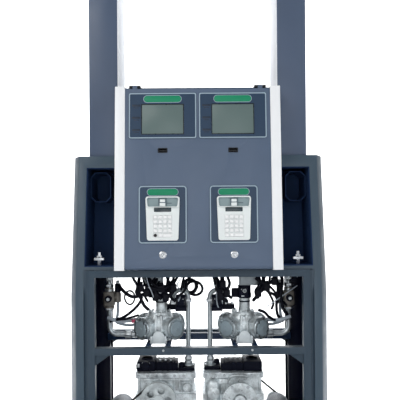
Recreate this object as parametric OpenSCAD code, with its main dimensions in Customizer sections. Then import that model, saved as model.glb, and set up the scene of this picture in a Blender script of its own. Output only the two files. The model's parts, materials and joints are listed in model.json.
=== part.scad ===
// Two-product, two-nozzle electronic fuel dispenser with its lower cabinet doors taken off.
// X runs across the front, Y from front to rear, Z up; the origin is the middle of the base on the ground.
// The machine's two fronts are alike; the right pump unit is the left one turned half a turn.

/* [Cabinet] */
// Depth over the front and rear frames
cabinet_d = 450; // [430:2:520]
// Height of the base frame
base_h = 60; // [50:1:70]
// Top of the front and rear frames above the ground
frame_top = 778; // [770:1:860]
// Top of the middle rails, which carry the meters
meter_rail_top = 451; // [440:1:480]
// Width of a frame post and height of a frame rail
post_w = 30; // [24:1:36]
// Depth of a frame post
post_d = 40; // [30:1:46]
// Gap between a frame post and the side shell, half of it filled by the post's flange
shell_gap = 16; // [12:1:24]
// Thickness of the sheet metal
sheet_t = 3; // [2:0.5:4]
// Width of a base rail
base_rail_w = 40; // [34:1:44]
// Half the distance between the two inner base rails
base_rail_y = 110; // [100:1:114]
// Diameter of an anchor hole
anchor_d = 14; // [10:1:18]
// Distance between the anchor holes across the front
anchor_x = 800; // [700:10:840]
// Distance between the anchor holes from front to rear
anchor_y = 360; // [350:2:370]

/* [Side shells] */
// Width of the flat front strip of a side shell
strip_w = 33; // [26:1:40]
// Width of the shell's corner chamfer across the front
chamfer_x = 31; // [20:1:40]
// Depth of the shell's corner chamfer
chamfer_y = 57; // [40:1:60]
// Height at which the shell's faces start to lean in
lean_start = 670; // [600:5:740]
// Height of the shell's top
shell_top = 1270; // [1240:1:1320]
// Depth of the shell's top
shell_top_d = 256; // [250:2:280]
// Width of a nozzle bay
bay_w = 135; // [125:1:150]
// Height of the lip under a nozzle bay
bay_lip = 15; // [10:1:24]
// Height of the cap strip over a nozzle bay
bay_cap = 51; // [40:1:70]
// Depth of a nozzle bay
bay_depth = 206; // [180:1:220]

/* [Columns] */
// Overall height
total_h = 2300; // [2150:10:2400]
// Width of a column
column_w = 125; // [115:1:140]
// Depth of a column
column_d = 240; // [220:2:250]
// Thickness of the white liner on a column's inner face
liner_t = 3; // [2:0.5:5]
// Height of the header between the columns
header_h = 215; // [160:5:260]
// Distance of the hose outlets below the machine's top
outlet_drop = 100; // [80:5:220]
// Bore of a hose outlet
outlet_d = 30; // [25:1:34]

/* [Head] */
// Width of the front door
door_w = 609; // [590:1:660]
// Height of the head
head_h = 770; // [740:1:800]
// Width of a white cheek
cheek_w = 42; // [34:1:50]
// Distance of the door's lower edge in front of the frames
head_overhang = 60; // [50:1:70]
// Lean of the door, in degrees
door_tilt = 4.84; // [3:0.1:6]
// Depth of the door's folded pan
door_d = 25; // [20:1:28]
// Distance of a display or terminal from the middle of the door
unit_x = 147; // [144:1:152]
// Width of a display window
window_w = 284; // [260:1:286]
// Height of a display window
window_h = 195; // [170:1:200]
// Width of a display's glass
lcd_w = 178; // [150:1:190]
// Height of a display's glass
lcd_h = 129; // [110:1:135]
// Width of a terminal's plate
plate_w = 200; // [180:1:220]
// Height of a terminal's plate
plate_h = 240; // [230:1:250]
// Width of a terminal at its top
terminal_w = 141; // [136:1:150]
// Height of a terminal
terminal_h = 181; // [178:1:190]
// Distance between key centres across a row
key_pitch_x = 20; // [19:0.5:22]
// Distance between key rows
key_pitch_z = 18.8; // [18.5:0.1:20]
// Width of a key
key_w = 16; // [14:0.5:17]
// Travel of the keys
key_travel = 1.2; // [0.8:0.1:1.5]
// Diameter of a lock's plug
plug_d = 12; // [10:0.5:14]
// Diameter of a door hinge's pin
hinge_pin_d = 6; // [5:0.5:7]

/* [Hydraulics] */
// Width of a pump
pump_w = 268; // [250:2:280]
// Distance of a pump from the middle
pump_x = 150; // [145:1:160]
// Outer diameter of a pump's pulley
pump_pulley_d = 155; // [140:1:160]
// Diameter of a pump's shaft
pump_shaft_d = 22; // [18:1:25]
// Outer diameter of a motor's pulley
motor_pulley_d = 70; // [60:1:80]
// Diameter of a motor's body
motor_d = 104; // [96:1:110]
// Distance of a meter from the middle
meter_x = 187; // [183:1:192]
// Distance that both meters stand to the right of that
meter_shift = 10; // [4:1:12]
// Distance from a meter's axis to a cylinder's cap
meter_reach = 102; // [98:1:108]
// Diameter of a meter's cylinder cap
cap_d = 98; // [90:1:100]
// Outer diameter of the fuel pipes
pipe_d = 22; // [18:1:25]
// Outer diameter of a suction pipe
suction_d = 48; // [42:1:60]
// Bore of a suction pipe
suction_bore = 38; // [32:1:40]

/* [Clearances] */
// Radial clearance of a turning fit
running_fit = 0.05; // [0.02:0.01:0.1]
// Gap round a part that moves in a guide
free_gap = 0.4; // [0.3:0.1:0.6]

/* [Hidden] */
$fn = 48;
SIDES = [-1, 1];
SLACK = 1;

// Places across the front, from the middle outwards
case_x = door_w / 2 + 0.5;
cheek_x = case_x + cheek_w;
column_x = cheek_x + liner_t;
shell_x = column_x + bay_w;
shell_out = shell_x + strip_w + chamfer_x;
post_out = shell_x - shell_gap;
post_in = post_out - post_w;
// Places from front to rear
frame_y = cabinet_d / 2;
rail_back = frame_y - post_d;
// Heights
rail_z = meter_rail_top - post_w;
head_z = frame_top + 4;
bay_z = frame_top + bay_lip;
bay_top = shell_top - bay_cap;
bay_h = bay_top - bay_z;
outlet_z = total_h - outlet_drop;
lean = (frame_y - shell_top_d / 2) / (shell_top - lean_start);
boot_gap = 3;
// Door plane: a frame that leans back, with its origin at the door's lower edge
door_y = frame_y + head_overhang;
door_z = head_z + 3;
door_h = head_h - 11;
hinge_y = 10;
hinge_v = door_h + 12;
hinge_r = hinge_pin_d / 2 + 3;
hinge_xs = [239, 289];
case_inset = door_d + 3;
slot_v = 496;
window_v = 546;
lcd_v = 564;
plate_v = 107.5;
terminal_v = 120;
lock_v = 61;
key_v = 140;
face_t = 2.5;
terminal_face = 10.5;
lock_bezel_d = 31;
barrel_d = 19;
// Drive: places in a pump unit's own frame, whose origin is under the pump's middle
pump_pulley_x = -28;
pump_pulley_z = 214;
motor_x = -215;
motor_z = base_h + 2 + motor_d / 2;
pulley_y = -165;
pulley_w = 20;
belt_w = 13;
belt_h = 8;
groove = 10;
filter_d = pump_pulley_d;
filter_z = 200;
outlet_x = 100;
inlet_z = meter_rail_top + 154;
arch_r = 34;
motor_shaft_d = 18;
pump_top = base_h + 251;
belt_dx = pump_pulley_x - motor_x;
belt_dz = pump_pulley_z - motor_z;
belt_length = norm([belt_dx, belt_dz]);
// Meters
meter_y = -50;
meter_z = meter_rail_top + 63;
meter_top = meter_rail_top + 130;
rear_rail_y = 95;
outlet_reach = 74;
// Delivery pipe: a riser in the cabinet, in line with the one that climbs behind the nozzle bay
riser_x = column_x + 53;
riser_y = meter_y;
climb_y = 92;
pipe_r = pipe_d / 2;
bend_r = 34;
turn_z = frame_top - 42;
// Nozzle rest and its switch lever
rest_x = (column_x + shell_x) / 2 + 12;
rest_y = -150;
rest_z = bay_z + boot_gap + 22;
lever_z = rest_z + 14;
lever_pin_r = 3;

// ---- Helpers ----

// A frame leaning with the door: x across, y into the machine, z up the door
module on_door() {
  translate([0, -door_y, door_z]) rotate([-door_tilt, 0, 0]) children();
}

// The same on the rear, where y runs out of the machine's middle towards the front again
module on_rear() {
  rotate([0, 0, 180]) on_door() children();
}

// Left and right places of a pair
module each_side(x = 0) {
  for (s = SIDES) translate([s * x, 0, 0]) children();
}

// A right-hand shape as it is, or its mirror image on the left
module on_side(s) {
  if (s > 0) children();
  else mirror([1, 0, 0]) children();
}

module both_sides() {
  for (s = SIDES) on_side(s) children();
}

// A pump unit's own frame; the right unit is turned half a turn
module at_pump(s) {
  rotate([0, 0, s < 0 ? 0 : 180]) translate([-pump_x, 0, 0]) children();
}

module at_meter(s) {
  translate([s * meter_x + meter_shift, meter_y, 0]) children();
}

// Box from its lowest to its highest corner
module box(a, b) {
  translate(a) cube(b - a);
}

// Cylinder along Y from y0 to y1
module rod_y(r, y0, y1) {
  translate([0, y1, 0]) rotate([90, 0, 0]) cylinder(h = y1 - y0, r = r);
}

// Cylinder along X from x0 to x1
module rod_x(r, x0, x1, facets = $fn) {
  translate([x0, 0, 0]) rotate([0, 90, 0]) cylinder(h = x1 - x0, r = r, $fn = facets);
}

// Ring along Y
module ring_y(r, bore, y0, y1) {
  difference() {
    rod_y(r, y0, y1);
    rod_y(bore, y0 - SLACK, y1 + SLACK);
  }
}

// Upright plate in the XZ plane, from y0 to y1, of the 2D shape given
module plate_y(y0, y1) {
  translate([0, y1, 0]) rotate([90, 0, 0]) linear_extrude(y1 - y0) children();
}

// Shape in the YZ plane pulled along X from x0 to x1
module along_x(x0, x1) {
  translate([x0, 0, 0]) rotate([90, 0, 90]) linear_extrude(x1 - x0) children();
}

// Rectangle with round corners, centred
module round_rect(w, h, r) {
  square([w - 2 * r, h], center = true);
  square([w, h - 2 * r], center = true);
  for (x = [-1, 1], z = [-1, 1]) translate([x * (w / 2 - r), z * (h / 2 - r)]) circle(r);
}

// Hexagonal bolt head along Y, its face towards the front
module bolt_y(across, y0, y1) {
  translate([0, y1, 0]) rotate([90, 0, 0]) cylinder(h = y1 - y0, d = across / cos(30), $fn = 6);
}

// One straight length of pipe; what follows starts at its end
module leg(r, len) {
  cylinder(h = len, r = r);
  translate([0, 0, len]) children();
}

// One elbow of pipe, turned by roll about the pipe before it
module bend(r, roll, turn = 90, radius = bend_r) {
  rotate([0, 0, roll]) {
    translate([radius, 0, 0]) rotate([90, 0, 0]) rotate([0, 0, 180 - turn])
      rotate_extrude(angle = turn) translate([radius, 0]) circle(r);
    translate([radius * (1 - cos(turn)), 0, radius * sin(turn)]) rotate([0, turn, 0]) children();
  }
}

// ---- Frames ----

module base_rail(y, w) {
  difference() {
    box([-shell_out + sheet_t, y - w / 2, 0], [shell_out - sheet_t, y + w / 2, base_h]);
    box([-shell_out, y - w / 2 + sheet_t, sheet_t], [shell_out, y + w / 2 - sheet_t, base_h - sheet_t]);
  }
}

// Folded channel along the front: web in front, flanges pointing inwards
module base_channel() {
  foot = frame_y - anchor_y / 2 + 22;
  difference() {
    union() {
      box([-shell_out, -frame_y, 0], [shell_out, -frame_y + foot, 6]);
      box([-shell_out, -frame_y, 0], [shell_out, -frame_y + 6, base_h]);
      box([-shell_out, -frame_y, base_h - 6], [shell_out, -frame_y + post_d, base_h]);
    }
    for (s = SIDES) translate([s * anchor_x / 2, -anchor_y / 2, -SLACK]) cylinder(h = 8, d = anchor_d);
  }
}

module base_frame() {
  color("#3a4554") {
    base_channel();
    mirror([0, 1, 0]) base_channel();
    for (y = [-base_rail_y, base_rail_y]) base_rail(y, base_rail_w);
    for (s = SIDES) {
      box([s * (shell_out - 20) - 20, -frame_y, 0], [s * (shell_out - 20) + 20, frame_y, base_h]);
    }
  }
}

// Triangular plate in the corner under a middle rail
module gusset() {
  plate_y(-frame_y + 10, -frame_y + 16) polygon([[post_in, rail_z], [post_in - 62, rail_z], [post_in, rail_z - 44]]);
}

module cabinet_frame() {
  color("#3b4c5c") {
    both_sides() {
      difference() {
        box([post_in, -frame_y, base_h], [post_out, -rail_back, frame_top]);
        box([post_in + sheet_t, -frame_y + sheet_t, base_h - SLACK],
            [post_out - sheet_t, -rail_back - sheet_t, frame_top + SLACK]);
      }
      box([post_out, -frame_y + 8, base_h], [post_out + shell_gap / 2, -frame_y + 8 + sheet_t, frame_top]);
      box([post_out + shell_gap / 2, -frame_y + 8, base_h], [shell_x, -frame_y + 8 + sheet_t, frame_top]);
      gusset();
    }
    box([-post_in, -frame_y, frame_top - post_w], [post_in, -rail_back, frame_top]);
    box([-post_in, -frame_y, rail_z], [post_in, -rail_back, meter_rail_top]);
  }
}

module front_frame() {
  cabinet_frame();
}

module rear_frame() {
  mirror([0, 1, 0]) cabinet_frame();
}

module meter_rails() {
  color("#0d2742") {
    box([-post_in + sheet_t, rear_rail_y, rail_z], [post_in - sheet_t, rear_rail_y + post_w, meter_rail_top]);
    for (s = SIDES, x = [-42, 42]) translate([s * meter_x + meter_shift + x, 0, 0]) {
      box([-12, -rail_back, meter_rail_top - 8], [12, rear_rail_y, meter_rail_top]);
    }
  }
}

// Dark inner side walls between the front and rear posts
module cabinet_walls() {
  color("#010412") both_sides() {
    box([post_in - sheet_t, -rail_back, base_h], [post_in, rail_back, frame_top]);
  }
}

// ---- Side shells and nozzle bays ----

// Half depth of the shell at height z
function shell_y(z) = frame_y - max(0, z - lean_start) * lean;

// Plan of the shell at height z, drawn in by t on every side but the inner one
function shell_ring(x0, z, t) = let (y = shell_y(z) - t, k = t * 0.6) [
  [x0, -y, z], [shell_x + strip_w - k, -y, z], [shell_out - t, -y + chamfer_y - k, z],
  [shell_out - t, y - chamfer_y + k, z], [shell_x + strip_w - k, y, z], [x0, y, z]
];

// Solid between two plans with the same number of corners
module loft(low, high) {
  n = len(low);
  sides = [for (i = [0 : n - 1]) [i, n + i, n + (i + 1) % n, (i + 1) % n]];
  polyhedron(concat(low, high), concat(sides, [[for (i = [0 : n - 1]) i], [for (i = [n - 1 : -1 : 0]) n + i]]));
}

// Shell body between two heights
module shell_part(x0, z0, z1, t) {
  loft(shell_ring(x0, z0, t), shell_ring(x0, z1, t));
}

module side_shell() {
  color("#55606f") difference() {
    union() {
      shell_part(shell_x, base_h, lean_start, 0);
      shell_part(shell_x, lean_start, frame_top, 0);
      shell_part(column_x, frame_top, shell_top, 0);
    }
    shell_part(shell_x + sheet_t, base_h - SLACK, lean_start, sheet_t);
    shell_part(shell_x + sheet_t, lean_start, frame_top + sheet_t, sheet_t);
    shell_part(column_x + sheet_t, frame_top + sheet_t, shell_top - sheet_t, sheet_t);
    // bay opening in the front
    box([column_x, -frame_y - SLACK, bay_z], [shell_x, -shell_top_d / 4, bay_top]);
    // hole in the floor and the top for the climbing pipe
    for (z = [frame_top, shell_top - sheet_t]) {
      translate([riser_x, climb_y, z - SLACK]) cylinder(h = sheet_t + 2 * SLACK, r = pipe_r + 3);
    }
  }
}

module left_side_shell() {
  on_side(-1) side_shell();
}

module right_side_shell() {
  on_side(1) side_shell();
}

// Side outline of the bay lining, drawn in by t
module boot_outline(t, front) {
  z0 = bay_z + t;
  z1 = bay_top - t;
  polygon([
    [-shell_y(z0) + front, z0], [boot_back - t, z0],
    [boot_back + (bay_top - bay_z) * 0.13 - t, z1], [-shell_y(z1) + front, z1]
  ]);
}

boot_back = bay_depth - shell_y(bay_z);
pocket_w = 84;
pocket_z = [bay_z + 282, bay_z + 408];
pocket_x = shell_x - 9 - pocket_w / 2;
pocket_back = 74;
pocket_reach = 76;
pocket_wall = 3;

// Eight-sided outline of the spout's pocket, wider by t all round
module pocket_outline(t) {
  corner = 20;
  x = pocket_w / 2 + t;
  z = [pocket_z[0] - t, pocket_z[1] + t];
  translate([pocket_x, 0]) polygon([
    [-x + corner, z[0]], [x - corner, z[0]], [x, z[0] + corner], [x, z[1] - corner],
    [x - corner, z[1]], [-x + corner, z[1]], [-x, z[1] - corner], [-x, z[0] + corner]
  ]);
}

// Moulded lining: a deep tray, with a pocket for the spout that stands out of its back high up
module nozzle_boot() {
  color("#182338") difference() {
    union() {
      difference() {
        along_x(column_x + sheet_t, shell_x - free_gap) boot_outline(0, sheet_t);
        along_x(column_x + sheet_t + boot_gap, shell_x - free_gap - boot_gap) boot_outline(boot_gap, -SLACK);
      }
      plate_y(boot_back - pocket_reach, pocket_back + pocket_wall) pocket_outline(pocket_wall);
    }
    plate_y(boot_back - pocket_reach - SLACK, pocket_back) pocket_outline(0);
  }
}

module left_nozzle_boot() {
  on_side(-1) nozzle_boot();
}

module right_nozzle_boot() {
  on_side(1) nozzle_boot();
}

// Cast rest on the bay's floor, with two ears for the switch lever
module nozzle_rests() {
  color("#c9ced2") both_sides() translate([rest_x, rest_y, 0]) {
    box([-21, -14, rest_z], [21, 14, rest_z + 10]);
    box([-7, -8, bay_z + boot_gap], [7, 8, rest_z]);
    difference() {
      for (s = SIDES) translate([s * 8, 0, 0]) box([-2, -6, rest_z + 9], [2, 6, lever_z + 6]);
      translate([0, 0, lever_z]) rod_x(lever_pin_r + running_fit, -10 - SLACK, 10 + SLACK);
    }
  }
}

// Switch lever that a hung nozzle pushes back; its pin turns in the ears' bores
module boot_lever() {
  color("#d4d8da") translate([rest_x, rest_y, 0]) {
    box([-5.5, -3, lever_z], [5.5, 3, rest_z + 34]);
    translate([0, 0, lever_z]) rod_x(lever_pin_r, -10, 10);
  }
}

module left_boot_lever() {
  on_side(-1) boot_lever();
}

module right_boot_lever() {
  on_side(1) boot_lever();
}

// ---- Columns and header ----

module column() {
  wall = 2.5;
  color("#596574") difference() {
    box([column_x, -column_d / 2, shell_top], [column_x + column_w, column_d / 2, total_h]);
    box([column_x + wall, -column_d / 2 + wall, shell_top - SLACK],
        [column_x + column_w - wall, column_d / 2 - wall, total_h - wall]);
    translate([column_x + column_w - 2 * wall, climb_y, outlet_z]) rotate([0, 90, 0]) cylinder(h = 10, d = outlet_d + 4);
  }
}

module left_column() {
  on_side(-1) column();
}

module right_column() {
  on_side(1) column();
}

module column_liners() {
  color("#eef2f6") both_sides() {
    box([column_x - liner_t, -column_d / 2, shell_top], [column_x, column_d / 2, total_h]);
  }
}

header_z = total_h - header_h - 10;
header_y = column_d / 2 - 10;

module header_case() {
  x = column_x - liner_t;
  color("#e9edf0") difference() {
    box([-x, -header_y, header_z], [x, header_y, header_z + header_h]);
    box([-x + sheet_t, -header_y + sheet_t, header_z + sheet_t], [x - sheet_t, header_y - sheet_t, header_z + header_h - sheet_t]);
    box([-x + 20, -header_y - SLACK, header_z + 20], [x - 20, header_y + SLACK, header_z + header_h - 20]);
  }
}

module header_light_panels() {
  x = column_x - liner_t - 20;
  color("#f4f8fa") for (s = SIDES) translate([0, s * (header_y - 2), 0]) {
    box([-x, -2, header_z + 20], [x, 2, header_z + header_h - 20]);
  }
}

// Hose outlet on a column's outer side
module hose_glands() {
  color("#8b9299") both_sides() translate([column_x + column_w, climb_y, outlet_z]) rotate([0, 90, 0]) difference() {
    union() {
      cylinder(h = 6, d = 50);
      cylinder(h = 40, d = outlet_d + 12);
      translate([0, 0, 22]) cylinder(h = 12, d = 50, $fn = 6);
    }
    translate([0, 0, -SLACK]) cylinder(h = 42, d = outlet_d);
  }
}

// ---- Head ----

// Half depth of the head at height z
function head_y(z) = door_y - tan(door_tilt) * (z - door_z);

// Side outline of the head, its faces drawn in by t
module head_outline(t, z0, z1) {
  k = t / cos(door_tilt);
  polygon([[-head_y(z0) + k, z0], [head_y(z0) - k, z0], [head_y(z1) - k, z1], [-head_y(z1) + k, z1]]);
}

module head_case() {
  head_top = head_z + head_h;
  lip = 20;
  color("#3d4756") difference() {
    along_x(-case_x, case_x) head_outline(case_inset, head_z, head_top);
    along_x(-case_x + face_t, case_x - face_t) head_outline(case_inset + face_t, head_z + sheet_t, head_top - sheet_t);
    along_x(-case_x + lip, case_x - lip) head_outline(case_inset - 5, head_z + lip + 13, head_top - lip);
  }
}

// White side cover of the head, open towards the case
module cheek() {
  head_top = head_z + head_h;
  proud = -2;
  color("#f6f8fa") difference() {
    along_x(case_x, cheek_x) head_outline(proud, head_z, head_top);
    along_x(case_x - SLACK, cheek_x - sheet_t) head_outline(proud + sheet_t, head_z + sheet_t, head_top - sheet_t);
  }
}

module left_cheek() {
  on_side(-1) cheek();
}

module right_cheek() {
  on_side(1) cheek();
}

// Fixed hinge leaves with their pins, on top of the head's front edge
module door_hinges() {
  y0 = -door_y + hinge_y * cos(door_tilt) + hinge_v * sin(door_tilt);
  z0 = door_z - hinge_y * sin(door_tilt) + hinge_v * cos(door_tilt);
  head_top = head_z + head_h;
  color("#15181d") both_sides() {
    box([hinge_xs[0], y0 + hinge_r + 2, head_top], [hinge_xs[1], y0 + 62, head_top + 4]);
    for (x = [hinge_xs[0], hinge_xs[1] - 15]) {
      box([x, y0, head_top], [x + 15, y0 + hinge_r + 3, head_top + 4]);
      translate([x, y0, z0]) rotate([0, 90, 0]) cylinder(h = 15, r = hinge_r);
    }
    translate([hinge_xs[0], y0, z0]) rotate([0, 90, 0]) cylinder(h = hinge_xs[1] - hinge_xs[0], d = hinge_pin_d);
  }
}

module electronics_box() {
  color("#8f979e") {
    box([-200, -90, head_z + sheet_t], [200, 90, head_z + 470]);
    for (x = [-120, 0, 120]) box([x - 45, -104, head_z + 60], [x + 45, -90, head_z + 420]);
  }
}

// Folded pan with cut-outs, used by the door and the rear cover
module pan_outline() {
  r = 18;
  polygon(concat(
    [[door_d, 0], [door_d, door_h], [0, door_h]],
    [for (a = [0 : 10 : 90]) [r - r * cos(a), r - r * sin(a)]]
  ));
}

module door_pan() {
  difference() {
    along_x(-door_w / 2, door_w / 2) pan_outline();
    box([-door_w / 2 + face_t, face_t, 18], [door_w / 2 - face_t, door_d + SLACK, door_h - face_t]);
    for (s = SIDES) translate([s * unit_x, 0, lcd_v + lcd_h / 2]) {
      plate_y(-SLACK, 2 * face_t) square([lcd_w + 2 * free_gap, lcd_h + 2 * free_gap], center = true);
    }
  }
}

module front_door() {
  color("#5d6c80") on_door() {
    difference() {
      door_pan();
      for (s = SIDES) translate([s * unit_x, 0, 0]) {
        translate([0, 0, slot_v]) plate_y(-SLACK, 2 * face_t) square([35.6, 15.6], center = true);
        translate([0, 0, terminal_v + terminal_h / 2]) plate_y(-SLACK, 2 * face_t) square([112, 150], center = true);
        translate([0, 0, lock_v]) rod_y(barrel_d / 2 + 0.2, -SLACK, 2 * face_t);
      }
    }
    for (s = SIDES) door_knuckle(s);
  }
}

// Door's half of a hinge
module door_knuckle(s) {
  x = s * (hinge_xs[0] + hinge_xs[1]) / 2;
  half = (hinge_xs[1] - hinge_xs[0]) / 2 - 15 - free_gap;
  translate([x, 0, 0]) difference() {
    union() {
      box([-half, hinge_y - hinge_r, door_h - 6], [half, hinge_y + hinge_r, hinge_v]);
      translate([-half, hinge_y, hinge_v]) rotate([0, 90, 0]) cylinder(h = 2 * half, r = hinge_r);
    }
    translate([-half - SLACK, hinge_y, hinge_v]) rotate([0, 90, 0])
      cylinder(h = 2 * half + 2 * SLACK, r = hinge_pin_d / 2 + running_fit);
  }
}

module rear_cover() {
  color("#5d6c80") on_rear() door_pan();
  // clips that hold the cover to the case
  color("#5d6c80") on_rear() for (s = SIDES, v = [60, door_h - 60]) {
    box([s * (door_w / 2 - 14) - 8, door_d, v], [s * (door_w / 2 - 14) + 8, case_inset, v + 30]);
  }
}

module window_plates() {
  for (s = SIDES) translate([s * unit_x, 0, window_v + window_h / 2]) plate_y(-3, 0) difference() {
    round_rect(min(window_w, 2 * unit_x - 4), window_h, 8);
    translate([0, lcd_v + lcd_h / 2 - window_v - window_h / 2])
      square([lcd_w + 2 * free_gap, lcd_h + 2 * free_gap], center = true);
  }
}

module lcd_units() {
  for (s = SIDES) translate([s * unit_x, 0, lcd_v + lcd_h / 2]) {
    plate_y(-2, face_t) square([lcd_w, lcd_h], center = true);
    plate_y(face_t, 20) square([lcd_w + 14, lcd_h + 14], center = true);
  }
}

module display_windows() {
  color("#38495c") on_door() window_plates();
}

module lcd_modules() {
  color("#68777a") on_door() lcd_units();
}

module rear_display_windows() {
  color("#38495c") on_rear() window_plates();
}

module rear_lcd_modules() {
  color("#68777a") on_rear() lcd_units();
}

module terminal_plates() {
  color("#38495c") on_door() for (s = SIDES) translate([s * unit_x, 0, 0]) difference() {
    translate([0, 0, plate_v + plate_h / 2]) plate_y(-3, 0) round_rect(plate_w, plate_h, 14);
    translate([0, 0, terminal_v + terminal_h / 2]) plate_y(-3 - SLACK, SLACK) square([112, 150], center = true);
  }
}

key_rows = 5;
key_cols = 4;
key_h = 15;

// Places and widths of the keys: the last two of the bottom row are one wide key
function key_cells() = concat(
  [for (r = [1 : key_rows - 1], c = [0 : key_cols - 1]) [(c - 1.5) * key_pitch_x, r * key_pitch_z, key_w]],
  [for (c = [0, 1]) [(c - 1.5) * key_pitch_x, 0, key_w]],
  [[key_pitch_x, 0, key_w + key_pitch_x]]
);

module key_shapes(grow) {
  for (k = key_cells()) translate([k[0], key_v + k[1]]) square([k[2] + 2 * grow, key_h + 2 * grow], center = true);
}

// Card and PIN terminal: a tapered housing with a hood over its card slot
module terminal(s) {
  top = terminal_v + terminal_h;
  hood = top - 44;
  taper = 6;
  back = 18;
  color("#dee6e4") on_door() translate([s * unit_x, 0, 0]) difference() {
    union() {
      plate_y(-terminal_face, -3) polygon([
        [-terminal_w / 2 + taper, terminal_v], [terminal_w / 2 - taper, terminal_v],
        [terminal_w / 2, top], [-terminal_w / 2, top]
      ]);
      plate_y(-terminal_face - 10, -terminal_face) polygon([
        [-terminal_w / 2 + 4, hood], [terminal_w / 2 - 4, hood],
        [terminal_w / 2 - 3, top], [-terminal_w / 2 + 3, top]
      ]);
      box([-55, -3, terminal_v + 17], [55, back, top - 17]);
    }
    // card recess in the hood
    box([-40, -terminal_face - 10 - SLACK, hood + 4], [40, -terminal_face + 4, top - 8]);
    // well behind the face for the key mat, and its keys' holes
    box([-46, -terminal_face + face_t, key_v - 14], [46, -terminal_face + 10, key_v + 92]);
    plate_y(-terminal_face - SLACK, 0) key_shapes(free_gap);
    // screen recess under the hood
    box([-36, -terminal_face - SLACK, hood - 22], [36, -terminal_face + 1.5, hood - 4]);
  }
}

module left_terminal() {
  terminal(-1);
}

module right_terminal() {
  terminal(1);
}

// Silicone mat: a thin sheet in the well with the keys standing on it
module key_mat(s) {
  sheet = -terminal_face + face_t + 1.6;
  color("#c9d2d2") on_door() translate([s * unit_x, 0, 0]) {
    plate_y(sheet, sheet + 1.5) translate([0, key_v + 2 * key_pitch_z + 1]) square([88, 96], center = true);
    plate_y(-terminal_face - 1.5, sheet) key_shapes(0);
  }
}

module left_key_mat() {
  key_mat(-1);
}

module right_key_mat() {
  key_mat(1);
}

// Mechanical counters behind the two small windows
module totalisers() {
  color("#101418") on_door() for (s = SIDES) translate([s * unit_x, 0, slot_v]) {
    plate_y(0.5, face_t) square([35, 15], center = true);
    plate_y(face_t, 38) square([50, 28], center = true);
  }
}

module lock_barrels() {
  color("#a8adb2") on_door() for (s = SIDES) translate([s * unit_x, 0, lock_v]) {
    ring_y(lock_bezel_d / 2, plug_d / 2 + running_fit, -3, 0);
    ring_y(barrel_d / 2, plug_d / 2 + running_fit, 0, 26);
    ring_y(barrel_d / 2 + 4, barrel_d / 2, face_t, face_t + 5);
  }
}

// Lock plug with its cam, which swings down behind the case's lip
module lock_plug(s) {
  color("#5b6066") on_door() translate([s * unit_x, 0, lock_v]) {
    difference() {
      rod_y(plug_d / 2, -4, 34);
      box([-1, -4 - SLACK, -4], [1, -2, 4]);
    }
    box([0, 32, -6], [38, 35, 6]);
  }
}

module left_lock_plug() {
  lock_plug(-1);
}

module right_lock_plug() {
  lock_plug(1);
}

// ---- Pumps, motors and drives, in a pump unit's own frame ----

module pump_casting() {
  half = pump_w / 2;
  foot_y = base_rail_y;
  low = base_h + 20;
  difference() {
    union() {
      box([-half, -100, low], [half, 100, 220]);
      box([-half + 10, -88, 220], [half - 8, 88, pump_top - 22]);
      box([-half, -96, pump_top - 22], [half, 96, pump_top]);
      for (y = [-foot_y, foot_y]) box([-half, y - 20, base_h], [half, y + 20, low + 12]);
      translate([pump_pulley_x, 0, pump_pulley_z]) {
        rod_y(68, -138, 0);
        rod_y(22, -150, 0);
      }
      translate([-26, 0, filter_z]) {
        rod_y(filter_d / 2 - 8, 0, 122);
        rod_y(filter_d / 2, 122, 138);
        rod_y(24, 138, 146);
      }
      translate([half - 45, 82, low]) cylinder(h = 175, r = 34);
      translate([half - 45, 82, low + 175]) sphere(r = 34);
      translate([outlet_x, 0, pump_top]) cylinder(h = 18, r = 24);
      translate([0, 0, base_h + 6]) cylinder(h = 20, r = suction_d / 2 + 14);
    }
    box([-half + 10, -88, low + 10], [half - 10, 88, 210]);
    translate([pump_pulley_x, 0, pump_pulley_z]) rod_y(pump_shaft_d / 2 + running_fit, -151, -60);
  }
}

module left_pump() {
  color("#c8cfd2") at_pump(-1) pump_casting();
}

module right_pump() {
  color("#c8cfd2") at_pump(1) pump_casting();
}

// Black control head on top of a pump, tall at its outer side
module pump_head() {
  half = pump_w / 2;
  box([-half + 4, -60, pump_top], [-half + 84, 70, pump_top + 44]);
  box([-half + 84, -50, pump_top], [half - 82, 60, pump_top + 34]);
  translate([-half + 44, 5, pump_top + 44]) cylinder(h = 5, r = 26);
}

module pump_heads() {
  color("#1a1d22") for (s = SIDES) at_pump(s) pump_head();
}

module motor() {
  r = motor_d / 2;
  difference() {
    union() {
      translate([motor_x, 0, motor_z]) {
        rod_y(r, -92, 92);
        rod_y(r - 8, -118, 118);
        rod_y(24, -126, 0);
      }
      for (y = [-base_rail_y, base_rail_y]) box([motor_x - 50, y - 18, base_h], [motor_x + 50, y + 18, base_h + 16]);
      box([motor_x - 34, -130, base_h + 6], [motor_x + 34, 130, base_h + 20]);
      box([motor_x + r - 10, -34, motor_z - 26], [motor_x + r + 18, 34, motor_z + 26]);
    }
    translate([motor_x, 0, motor_z]) rod_y(motor_shaft_d / 2 + running_fit, -131, -60);
  }
}

module left_motor() {
  color("#47525c") at_pump(-1) motor();
}

module right_motor() {
  color("#47525c") at_pump(1) motor();
}

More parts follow.
